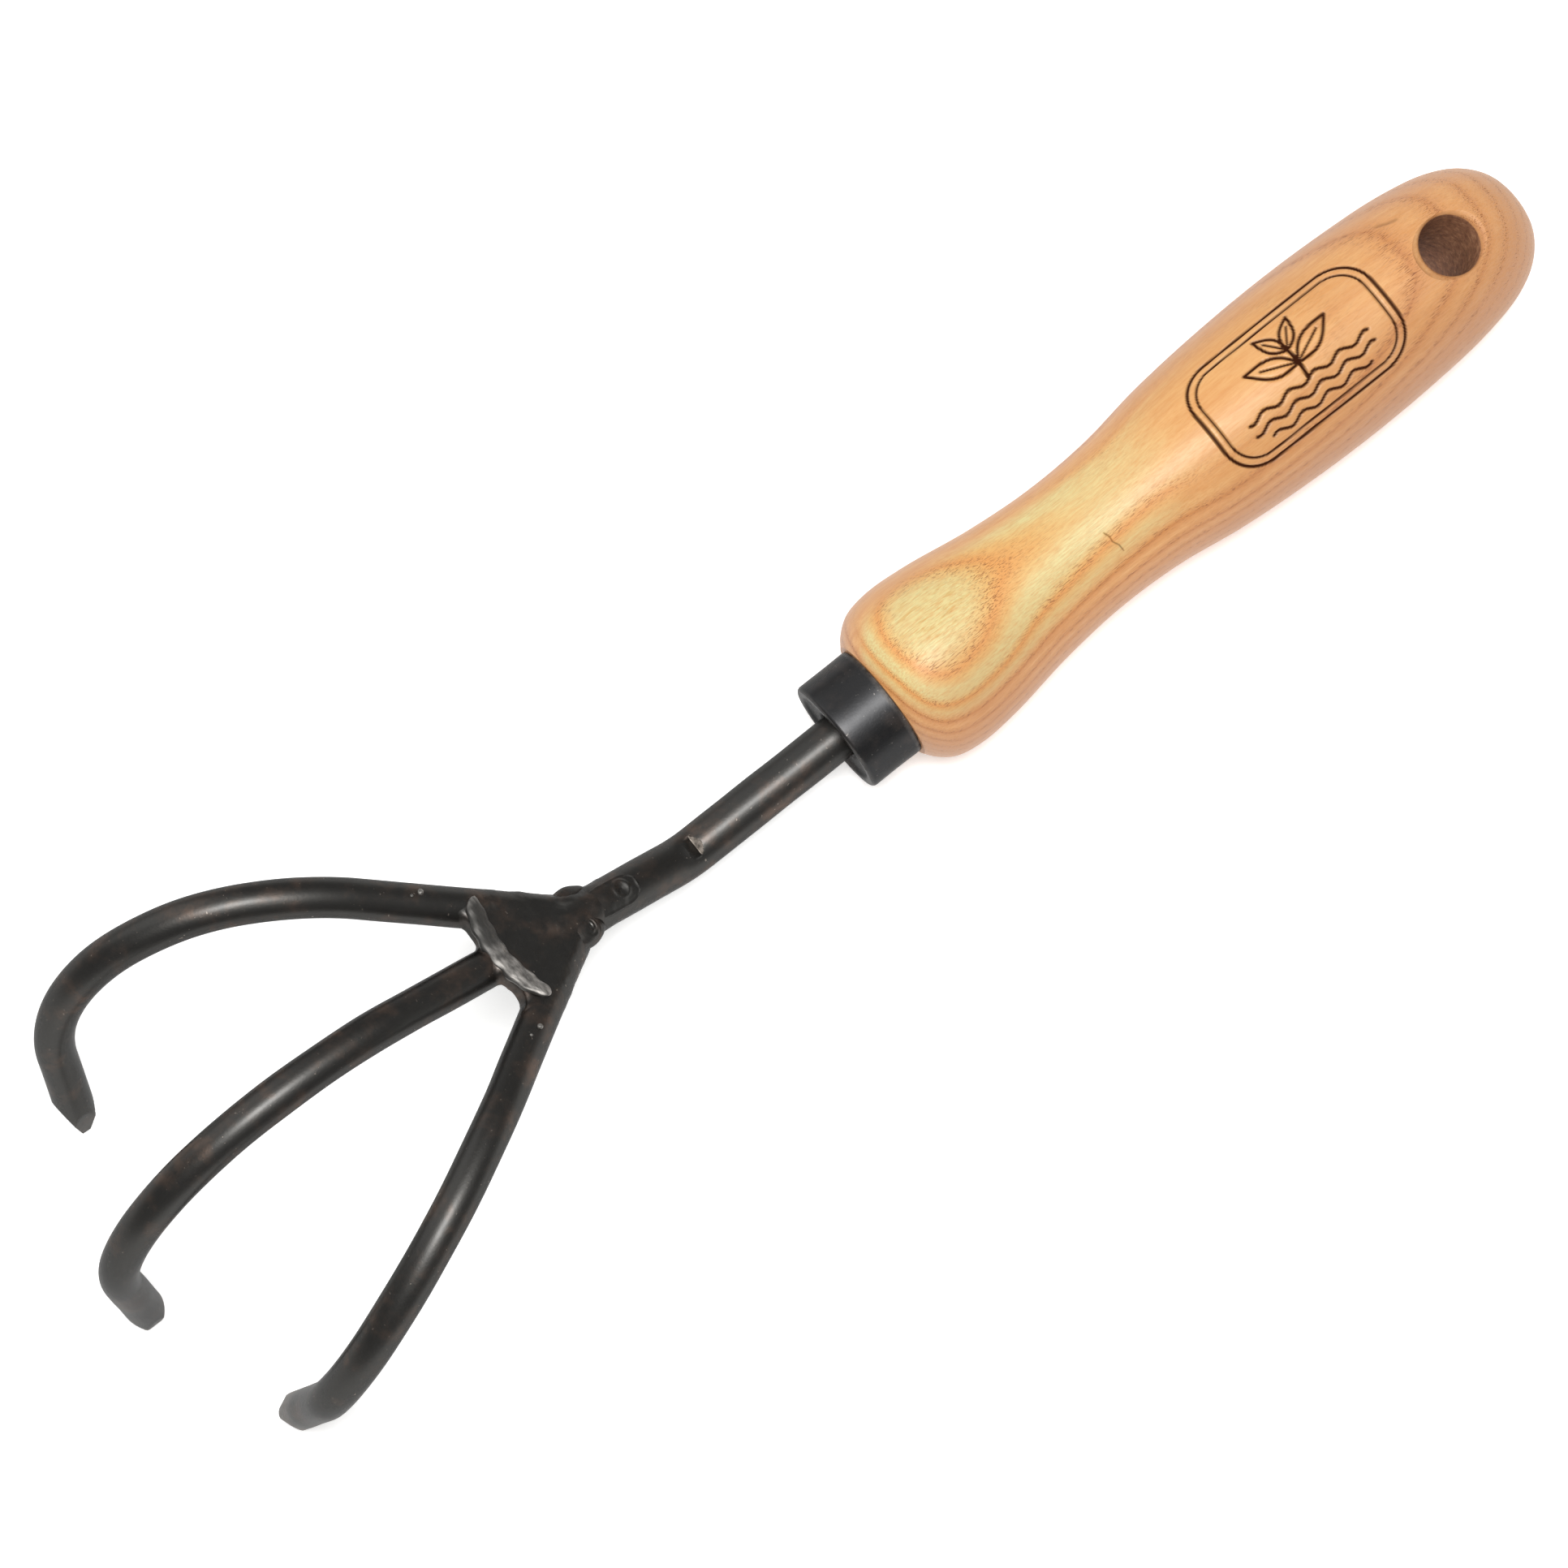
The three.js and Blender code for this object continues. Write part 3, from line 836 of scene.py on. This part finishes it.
def make_shank_weld():
    """A low smooth tongue of weld on the shank's back, with a raised rim and an end crater."""
    bar = shank_bar()
    start, end = bar.length - TONGUE_FROM, bar.length - TONGUE_TO

    def place(t, s):
        distance = start + (end - start) * t
        in_nose = max(0.0, 1 - (distance - start) / TONGUE_NOSE)
        half = TONGUE_HALF * math.sqrt(1 - in_nose**2)
        across = s * max(half, 0.05)
        turn = math.pi + TONGUE_TURN + across / SHANK_RADIUS
        from_edge = min(half - abs(across), distance - start)
        rise = TONGUE_RISE * float(smoothstep(-0.05, 0.5, from_edge))
        rise += RIM_RISE * math.exp(-(((from_edge - RIM_WIDTH) / 0.3) ** 2))
        crater_across = (turn - math.pi - CRATER[1]) * SHANK_RADIUS
        from_crater = math.hypot(distance - CRATER[0], crater_across)
        rise -= TONGUE_RISE * math.exp(-((from_crater / CRATER_RADIUS) ** 2))
        rise += CRATER_RIM_RISE * math.exp(-(((from_crater - CRATER_RIM_RADIUS) / 0.4) ** 2))
        rise += 0.04 * noise.noise(Vector((distance, across, 0)) * 0.9)
        fade = float(smoothstep(0.0, 2.5, end - distance))
        top = bar.skin(distance, turn, SHANK_RADIUS - TONGUE_SUNK + rise * fade + 0.1 * (1 - fade))
        return top, bar.skin(distance, turn, SHANK_RADIUS - 1.3)

    points, faces = bead_grid(110, 64, place)
    return add_piece("shank_bead", points, faces, "black_steel", "shank_weld", sharp=70)


# Drops on the outer tines: (hand, distance along the bar, degrees round it, radius).
SPATTER = [(1, 25.5, 0, 0.55), (1, 27.2, 14, 0.3), (-1, 23.5, 3, 0.5), (-1, 26, -10, 0.28)]
# Half the front bead's length, half its width, and its rise.
FRONT_SPAN = 10.6
FRONT_HALF = 1.95
FRONT_RISE = 1.0


def bead_centre(across):
    """The front bead's centre line: a shallow wavy arc that lies on the web and on the bars."""
    ahead = 11.8 - 0.018 * across**2 + 0.14 * math.sin(across * 1.9)
    return neck_point(ahead, across, 3.05 + 0.011 * across**2)


def make_front_weld():
    """The bead across the web's front edge, drawn out in long ridges, with a painted highlight on its
    right half and at its left end.
    """
    rows, sides = 220, 56
    points = []
    bright_metal_and_highlight = []
    for t in np.linspace(-1, 1, rows):
        across = FRONT_SPAN * t
        taper = (1 - abs(t) ** 6) ** 0.5
        centre = bead_centre(across)
        # Painted highlight: bright over the right half and at the left end of the bead.
        right_half = float(smoothstep(-2.2, 0.2, across))
        left_end = math.exp(-(((across + 10) / 0.9) ** 2))
        painted_highlight = max(0.12 + 0.88 * right_half, 0.7 * left_end)
        for a in circle(sides):
            local = Vector((across / 3.4, math.cos(a) * 1.8, math.sin(a) * 1.8))
            ridge = noise.noise(local) * 0.1 + noise.noise(local * 2.3) * 0.05
            ahead = (FRONT_HALF + ridge) * taper + 0.02
            rise = (FRONT_RISE + ridge) * taper + 0.02
            points.append(centre + FORWARD * ahead * math.cos(a) + UP * rise * math.sin(a))
            # The painted highlight fades towards the bead's front and back edges, painting shade there.
            bright_metal_and_highlight.append(painted_highlight * (1 - 0.75 * math.cos(a) ** 6))
    points.append(bead_centre(-FRONT_SPAN - 0.02))
    points.append(bead_centre(FRONT_SPAN + 0.02))
    bright_metal_and_highlight += [1, 1]
    parts = [(points, tube_faces(rows, sides))]
    for hand, distance, degrees, size in SPATTER:
        centre = tine_bar(OUTER_TINE, hand, OUTER_TOE).skin(distance, math.radians(degrees), TINE_RADIUS)
        parts.append(pebble(centre, (size, size, size * 0.8), 0.15))
    points, faces = joined(parts)
    # The spatter drops are bright bare metal all over.
    bright_metal_and_highlight += [0.8] * (len(points) - len(bright_metal_and_highlight))
    return add_piece("front_bead", points, faces, "weld_steel", "front_weld", {"bright_metal_and_highlight": bright_metal_and_highlight}, sharp=70)


def pebble(centre, radii, lumps, rows=24, sides=24):
    """A lumpy drop, its radii given as (ahead, across, up)."""
    points = []
    for local in ball_directions(rows, sides):
        swell = 1 + lumps * noise.noise(Vector(centre * 0.7 + local * 1.3))
        ahead, across, up = local * np.array(radii) * swell
        points.append(centre + FORWARD * ahead + ACROSS * across + UP * up)
    points += [centre - FORWARD * radii[0], centre + FORWARD * radii[0]]
    return points, tube_faces(rows, sides)


# By hand; centre and radii are (ahead, across, up) from the junction.
TOE_BEADS = {
    1: {"centre": (-7.2, -3.3, 1.5), "radii": (3.9, 2.0, 1.9), "scar": 0.0},
    -1: {"centre": (-5.6, 3.2, 1.5), "radii": (4.3, 2.7, 2.45), "scar": 0.13},
}
SCAR = (-5.8, 3.4)
SCAR_STEP = 0.85
SCAR_REACH = 2.4


def make_toe_weld(hand, name, node):
    """A lump where an outer tine's cut end meets the shank; the right one has a ringed scar."""
    bead = TOE_BEADS[hand]
    rows, sides = 90, 90
    middle = np.array(bead["centre"])
    points = []
    for local in ball_directions(rows, sides):
        lump = 1 + 0.1 * noise.noise(Vector(middle * 0.7 + local * 1.2))
        ahead, across, up = middle + local * np.array(bead["radii"]) * lump
        from_scar = math.hypot((ahead - SCAR[0]) * 1.2, (across - SCAR[1]) * 0.9)
        turn = abs(math.atan2(across - SCAR[1], SCAR[0] - ahead))
        fade = float(smoothstep(2.6, 1.2, turn)) * math.exp(-((from_scar / SCAR_REACH) ** 4))
        on_top = local[2] > 0
        up += bead["scar"] * math.cos(2 * math.pi * from_scar / SCAR_STEP) * fade * on_top
        points.append(neck_point(ahead, across, up))
    ends = (middle[0] - bead["radii"][0], middle[0] + bead["radii"][0])
    points += [neck_point(end, middle[1], middle[2]) for end in ends]
    return add_piece(name, points, tube_faces(rows, sides), "black_steel", node, sharp=70)


# Materials


def srgb(r, g, b):
    """A linear colour from 0-255 display values."""
    out = []
    for value in (r, g, b):
        c = value / 255
        out.append(c / 12.92 if c <= 0.04045 else ((c + 0.055) / 1.055) ** 2.4)
    return (*out, 1)


class Nodes:
    """A short way to write a material's node graph."""

    def __init__(self, name):
        self.material = bpy.data.materials.new(name)
        self.material.use_nodes = True
        self.tree = self.material.node_tree
        self.tree.nodes.clear()
        self.output = self.add("ShaderNodeOutputMaterial")
        self.shader = self.add("ShaderNodeBsdfPrincipled")
        self.link(self.shader.outputs["BSDF"], self.output.inputs["Surface"])

    def add(self, kind, **settings):
        node = self.tree.nodes.new(kind)
        for key, value in settings.items():
            setattr(node, key, value)
        return node

    def link(self, source, target):
        self.tree.links.new(source, target)

    def feed(self, node, index, value):
        if isinstance(value, bpy.types.NodeSocket):
            self.link(value, node.inputs[index])
        elif value is not None:
            node.inputs[index].default_value = value

    def math(self, operation, a, b=None, c=None, clamp=False):
        node = self.add("ShaderNodeMath", operation=operation, use_clamp=clamp)
        for index, value in enumerate((a, b, c)):
            self.feed(node, index, value)
        return node.outputs[0]

    def times(self, a, b, clamp=False):
        return self.math("MULTIPLY", a, b, clamp=clamp)

    def past(self, value, start, rate, clamp=False):
        """How far value is past start, times rate."""
        return self.times(self.math("SUBTRACT", value, start), rate, clamp)

    def vector(self, operation, source, value):
        node = self.add("ShaderNodeVectorMath", operation=operation)
        self.link(source, node.inputs[0])
        node.inputs["Scale" if operation == "SCALE" else 1].default_value = value
        return node.outputs[0]

    def place(self, scale=(1 / MM, 1 / MM, 1 / MM), location=(0, 0, 0)):
        """Object coordinates, in millimetres unless scaled otherwise."""
        coordinates = self.add("ShaderNodeTexCoord")
        mapping = self.add("ShaderNodeMapping")
        self.link(coordinates.outputs["Object"], mapping.inputs["Vector"])
        mapping.inputs["Scale"].default_value = scale
        mapping.inputs["Location"].default_value = location
        return mapping.outputs[0]

    def noise(self, vector, scale, detail, roughness=0.5):
        node = self.add("ShaderNodeTexNoise")
        self.link(vector, node.inputs["Vector"])
        node.inputs["Scale"].default_value = scale
        node.inputs["Detail"].default_value = detail
        node.inputs["Roughness"].default_value = roughness
        return node.outputs[0]

    def ramp(self, factor, stops):
        node = self.add("ShaderNodeValToRGB")
        self.link(factor, node.inputs[0])
        elements = node.color_ramp.elements
        while len(elements) < len(stops):
            elements.new(0.5)
        for element, (position, color) in zip(elements, stops):
            element.position = position
            element.color = color if isinstance(color, tuple) else (color, color, color, 1)
        return node.outputs[0]

    def mix(self, factor, a, b):
        node = self.add("ShaderNodeMix", data_type="RGBA")
        self.feed(node, 0, factor)
        self.feed(node, 6, a)
        self.feed(node, 7, b)
        return node.outputs[2]

    def attribute(self, name):
        return self.add("ShaderNodeAttribute", attribute_name=name).outputs["Fac"]

    def bump(self, height, strength, distance):
        node = self.add("ShaderNodeBump")
        node.inputs["Strength"].default_value = strength
        node.inputs["Distance"].default_value = distance
        self.link(height, node.inputs["Height"])
        self.link(node.outputs[0], self.shader.inputs["Normal"])

    def set(self, **values):
        for key, value in values.items():
            self.feed(self.shader, key.replace("_", " "), value)


# The growth layers' own directions: rings bulge towards a line a little to one side of the top.
LAYER_TURN = math.radians(10.5)
LAYER_LIFT = 0.058
LAYER_TOP = 16.6
PAST_WAIST = 42
PAST_WAIST_DROP = 0.15
RING_RADIUS = 24
RING_STEP = 2.1
RING_PHASE = 15.5
# The wood turns from pale to amber between these distances from the rim.
AMBER_FROM = 32
AMBER_TO = 76
RUDDY_FROM = 84

PALE = srgb(209, 195, 138)
HONEY = srgb(214, 172, 108)
RING_LINE = srgb(214, 154, 90)
EYE_STROKE = srgb(190, 140, 66)
AMBER_LINE = srgb(182, 116, 64)
AMBER_STREAK = srgb(196, 134, 78)
AMBER_CALM = srgb(211, 161, 103)
RUDDY = srgb(196, 146, 106)
FIBRE = srgb(200, 136, 74)
PORE = srgb(120, 68, 34)
# Painted shade, blended in towards the handle's flanks.
FLANK_SHADE = srgb(160, 108, 72)
BURNT = srgb(52, 25, 13)


def growth_layer(m, place, long_place):
    """The place along and across the handle, and the growth layer there, in millimetres."""
    split = m.add("ShaderNodeSeparateXYZ")
    m.link(place, split.inputs[0])
    along, across, height = split.outputs
    curved = m.math("DIVIDE", m.times(across, across), 2 * RING_RADIUS)
    lift = m.times(along, LAYER_LIFT)
    past_waist = m.math("SMOOTH_MAX", m.math("SUBTRACT", along, PAST_WAIST), 0.0, 14.0)
    layer = m.math("ADD", m.math("ADD", height, curved), lift)
    layer = m.math("SUBTRACT", layer, m.times(past_waist, PAST_WAIST_DROP))
    layer = m.math("ADD", layer, m.past(m.noise(long_place, 0.1, 0.0), 0.5, 1.0))
    layer = m.math("ADD", layer, m.past(m.noise(long_place, 0.5, 1.0), 0.5, 0.22))
    return along, across, m.math("SMOOTH_MIN", layer, LAYER_TOP, 0.6)


def ash_material():
    """Ash: growth layers cut by the turned shape, open pores, clear lacquer, the burnt mark, and painted
    shade towards the flanks.
    """
    m = Nodes("ash_lacquered")
    coordinates = m.add("ShaderNodeTexCoord").outputs["Object"]
    from_rim = m.vector("SUBTRACT", coordinates, DATUM + Vector((FERRULE_LENGTH * MM, 0, 0)))
    turned = m.add("ShaderNodeVectorRotate", rotation_type="X_AXIS")
    m.link(m.vector("SCALE", from_rim, 1 / MM), turned.inputs["Vector"])
    turned.inputs["Angle"].default_value = LAYER_TURN
    place = turned.outputs[0]
    long_place = m.vector("MULTIPLY", place, (0.16, 1, 1))
    fibre_place = m.vector("MULTIPLY", place, (0.1, 1, 1))
    streak_place = m.vector("MULTIPLY", place, (0.035, 1, 1))
    along, across, layer = growth_layer(m, place, long_place)
    ring = m.math("FRACT", m.math("DIVIDE", m.math("SUBTRACT", layer, RING_PHASE), RING_STEP))

    # Near the ferrule: pale rings with honey lines, and brown strokes inside the eye.
    ring_stops = [(0, RING_LINE), (0.1, HONEY), (0.3, PALE), (0.6, PALE), (0.82, HONEY), (0.96, RING_LINE)]
    rings = m.ramp(ring, [*ring_stops, (1, RING_LINE)])
    core = m.past(layer, 15.9, 2.2, clamp=True)
    strokes = m.ramp(m.noise(long_place, 1.5, 3.0, 0.6), [(0.52, 0.0), (0.62, 0.55)])
    rings = m.mix(m.times(core, strokes), rings, EYE_STROKE)

    # Past the waist: amber, with calm wood and long streaks on the belly's top.
    amber_stops = [(0, AMBER_LINE), (0.12, srgb(210, 152, 96)), (0.5, srgb(222, 170, 112))]
    amber_stops += [(0.85, srgb(210, 150, 94)), (1, AMBER_LINE)]
    amber = m.ramp(ring, amber_stops)
    calm = m.past(layer, 11.8, 0.7, clamp=True)
    amber = m.mix(m.times(calm, 0.8), amber, AMBER_CALM)
    streak = m.ramp(m.noise(streak_place, 0.75, 4.0, 0.6), [(0.42, 0.0), (0.64, 0.55)])
    amber = m.mix(streak, amber, AMBER_STREAK)

    # The change comes later on the top than on the flanks, and wanders.
    drift = m.past(m.noise(long_place, 0.16, 2.0), 0.5, 46.0)
    deep = m.past(layer, 14.0, -14.0)
    upper_side = m.math("MAXIMUM", m.past(across, 2.5, 8.0), 0.0)
    by_depth = m.math("ADD", m.math("ADD", deep, upper_side), m.times(drift, 0.3))
    reach = m.math("MAXIMUM", m.math("ADD", along, drift), m.math("ADD", by_depth, 28.0))
    warm = m.add("ShaderNodeMapRange", interpolation_type="SMOOTHSTEP")
    m.link(reach, warm.inputs["Value"])
    warm.inputs["From Min"].default_value = AMBER_FROM
    warm.inputs["From Max"].default_value = AMBER_TO
    base = m.mix(warm.outputs[0], rings, amber)
    base = m.mix(m.past(reach, RUDDY_FROM, 0.012, clamp=True), base, RUDDY)

    fibre = m.noise(fibre_place, 3.4, 4.0, 0.65)
    base = m.mix(m.ramp(fibre, [(0.4, 0.0), (0.7, 0.55)]), base, FIBRE)
    pores = m.ramp(m.noise(fibre_place, 7.5, 2.0), [(0.54, 0.0), (0.63, 1.0)])
    open_stops = [(0, 1.0), (0.12, 0.9), (0.28, 0.25), (0.7, 0.12), (0.92, 0.5), (1, 1.0)]
    pore_mask = m.times(pores, m.ramp(ring, open_stops))
    hidden = m.times(m.times(calm, warm.outputs[0]), 0.7)
    pore_mask = m.times(pore_mask, m.math("SUBTRACT", 1.0, hidden))
    base = m.mix(m.times(pore_mask, 0.8), base, PORE)
    # Painted shade: the wood is darkened towards both flanks, away from the top.
    flank_shade = m.past(m.math("ABSOLUTE", across), 5.0, 0.085, clamp=True)
    base = m.mix(m.times(flank_shade, 0.5), base, FLANK_SHADE)
    base = m.mix(m.attribute("burn"), base, BURNT)

    unburnt = m.math("SUBTRACT", 1.0, m.attribute("burn"))
    m.set(Base_Color=base, Roughness=m.ramp(fibre, [(0.2, 0.42), (0.8, 0.58)]))
    m.set(Coat_Weight=m.times(unburnt, 0.12), Coat_Roughness=0.3)
    m.set(Specular_IOR_Level=m.times(unburnt, 0.35))
    m.bump(m.math("SUBTRACT", m.times(fibre, 0.25), pore_mask), 0.35, 0.00012)
    return m.material


def bore_material():
    """The drilled wall of the hang hole: raw, oiled, dark brown end grain."""
    m = Nodes("ash_bore")
    speck = m.noise(m.place(), 0.9, 5.0, 0.7)
    stops = [(0.3, srgb(112, 72, 48)), (0.55, srgb(162, 114, 82)), (0.75, srgb(204, 158, 120))]
    m.set(Base_Color=m.ramp(speck, stops), Roughness=0.75)
    m.bump(speck, 0.5, 0.0003)
    return m.material


# Painted shade: the near-black put into the shank nick's hollow.
PAINTED_NICK_SHADE = srgb(34, 32, 30)
BROWNED = 0.5


def steel_material(name, dark, brown, bare, seed):
    """Black lacquer on forged steel: brown where it is thin, bare metal where it is worn, painted shade in
    the shank nick's hollow, and a painted highlight on the ferrule's back rim.
    """
    m = Nodes(name)
    place = m.place(location=(seed * 31.0, seed * 7.0, 0))
    cloud = m.noise(place, 0.14, 3.0, 0.6)
    patch = m.noise(place, 0.34, 3.0, 0.6)
    grit = m.noise(place, 2.6, 4.0, 0.7)
    speck = m.noise(place, 1.7, 2.0)
    clouded = m.ramp(cloud, [(0.46, 0.0), (0.66, 1.0)])
    thin = m.times(clouded, m.ramp(patch, [(0.4, 0.1), (0.62, 1.0)]))
    base = m.mix(m.times(thin, BROWNED), dark, brown)
    chipped = m.ramp(speck, [(0.69, 0.0), (0.75, 1.0)])
    chips = m.times(chipped, m.ramp(patch, [(0.45, 0.0), (0.6, 0.7)]))
    base = m.mix(chips, base, bare)
    fray = m.ramp(m.noise(place, 0.7, 4.0, 0.6), [(0.34, 0.3), (0.58, 1.0)])
    # Positive marks are worn bare metal, and on the ferrule's back rim a painted highlight drawn as bare
    # metal.
    wear_and_painted_light = m.attribute("wear_and_painted_light")
    worn = m.times(m.math("MAXIMUM", wear_and_painted_light, 0.0), fray)
    base = m.mix(worn, base, bare)
    # Negative marks paint shade, darkening the nick's hollow towards a near-black.
    base = m.mix(m.times(wear_and_painted_light, -1.0, clamp=True), base, PAINTED_NICK_SHADE)
    metallic = m.math("SUBTRACT", 1.0, m.times(worn, 0.75))
    m.set(Base_Color=base, Metallic=metallic, Specular_Tint=(0.16, 0.16, 0.16, 1))
    m.set(Coat_Weight=0.28, Coat_Roughness=0.3)
    uneven = m.math("ADD", m.times(grit, 0.12), m.times(patch, 0.14))
    m.set(Roughness=m.math("ADD", uneven, 0.34))
    m.bump(m.math("ADD", grit, m.times(speck, 0.4)), 0.16, 0.0002)
    return m.material


def weld_material():
    """Wire-brushed weld metal: grey, with pale streaks where the bead carries its painted highlight along
    its right, and on the spatter.
    """
    m = Nodes("weld_brushed")
    streak = m.noise(m.place((1000, 240, 1000)), 1.3, 5.0, 0.7)
    patch = m.ramp(m.noise(m.place(), 0.5, 2.0), [(0.3, 0.4), (0.5, 1.0)])
    glint = m.times(m.ramp(streak, [(0.34, 0.2), (0.66, 1.0)]), patch)
    # The painted highlight on the bead decides where the pale brushed streaks show.
    bright = m.times(glint, m.attribute("bright_metal_and_highlight"))
    m.set(Base_Color=m.mix(bright, srgb(78, 77, 75), srgb(158, 154, 149)))
    m.set(Metallic=m.math("SUBTRACT", 1.0, m.times(bright, 0.4)))
    m.set(Roughness=m.ramp(streak, [(0.2, 0.6), (0.8, 0.46)]))
    m.bump(streak, 0.2, 0.0002)
    return m.material


def floor_material():
    """White paper, with a little light of its own."""
    m = Nodes("floor_paper")
    mottle = m.noise(m.place((60, 60, 60)), 1.0, 2.0)
    m.set(Base_Color=m.ramp(mottle, [(0.3, srgb(246, 246, 245)), (0.7, srgb(250, 250, 249))]))
    m.set(Roughness=0.9, Specular_IOR_Level=0.1)
    m.set(Emission_Color=srgb(255, 255, 254), Emission_Strength=0.35)
    return m.material


# Stage: places in metres from the world's origin, the camera's in millimetres from the datum

FOCAL_LENGTH = 122.4
CAMERA_PLACE = (-107.8, -211.0, 869.6)
CAMERA_TURN = (14.438, 3.691, -38.638)
FLOOR_HALF = 3.0
FLOOR_GAP = 0.0005
SKY_STRENGTH = 0.19
LIGHT_TARGET = (0, 0, 0.02)
KEY_LIGHT = {"place": (-0.04, -0.2, 1.3), "size": (0.55, 0.38), "power": 20}
SIDE_LIGHT = {"place": (-0.3, 1.2, 0.9), "size": (1.3, 1.3), "power": 6}


def make_camera():
    data = bpy.data.cameras.new("camera")
    data.sensor_width = 36
    data.lens = FOCAL_LENGTH
    data.clip_start = 0.05
    data.clip_end = 20
    camera = new_object("camera", data)
    camera.location = DATUM + Vector(CAMERA_PLACE) * MM
    camera.rotation_euler = [math.radians(a) for a in CAMERA_TURN]
    bpy.context.scene.camera = camera


def make_light(name, light):
    data = bpy.data.lights.new(name, "AREA")
    data.shape = "RECTANGLE"
    data.size, data.size_y = light["size"]
    data.energy = light["power"]
    lamp = new_object(name, data)
    lamp.location = light["place"]
    aim = Vector(LIGHT_TARGET) - Vector(light["place"])
    lamp.rotation_euler = aim.to_track_quat("-Z", "Y").to_euler()


def make_stage():
    half = FLOOR_HALF
    corners = [(-half, -half, 0), (half, -half, 0), (half, half, 0), (-half, half, 0)]
    sheet = bpy.data.meshes.new("floor")
    sheet.from_pydata(corners, [], [(0, 1, 2, 3)])
    floor = new_object("floor", sheet)
    floor.location.z = cad_low.z - FLOOR_GAP
    floor.data.materials.append(floor_material())
    world = bpy.data.worlds.new("studio")
    world.use_nodes = True
    sky = world.node_tree.nodes["Background"]
    sky.inputs["Color"].default_value = (1, 1, 1, 1)
    sky.inputs["Strength"].default_value = SKY_STRENGTH
    bpy.context.scene.world = world
    make_light("key", KEY_LIGHT)
    make_light("side", SIDE_LIGHT)
    bpy.context.scene.view_settings.view_transform = "Standard"


# Assembly

make_camera()
make_stage()

handle = make_handle()
ferrule = make_ferrule()
shank = make_shank()
tines = [
    make_tine("centre_bar", "centre_tine", CENTRE_TINE, CENTRE_TIP, 0, CENTRE_TOE),
    make_tine("left_bar", "left_tine", LEFT_TINE, LEFT_TIP, 1, OUTER_TOE),
    make_tine("right_bar", "right_tine", OUTER_TINE, RIGHT_TIP, -1, OUTER_TOE),
]
web = make_web()
front_weld = make_front_weld()
shank_weld = make_shank_weld()
toes = [
    make_toe_weld(1, "left_toe_bead", "left_toe_weld"),
    make_toe_weld(-1, "right_toe_bead", "right_toe_weld"),
]

black = steel_material("black_lacquer", srgb(66, 65, 63), srgb(112, 92, 80), srgb(160, 150, 140), 0)
cup_steel = steel_material("ferrule_lacquer", srgb(50, 50, 51), srgb(84, 76, 72), srgb(150, 144, 138), 1)
for piece in (shank, *tines, web, shank_weld, *toes):
    piece.data.materials.append(black)
ferrule.data.materials.append(cup_steel)
front_weld.data.materials.append(weld_material())


def paint_handle():
    """Lacquered ash outside, and the bore's own material on the drilled wall."""
    handle.data.materials.clear()
    handle.data.materials.append(ash_material())
    handle.data.materials.append(bore_material())
    centre = DATUM + Vector((BUTT - HOLE_FROM_BUTT, 0, 0)) * MM
    axis = Vector(HOLE_AXIS)
    for face in handle.data.polygons:
        away = face.center - centre
        away -= axis * away.dot(axis)
        inside = away.length < (HOLE_RADIUS + 0.1) * MM and abs(face.normal.dot(axis)) < 0.5
        face.material_index = 1 if inside else 0


paint_handle()
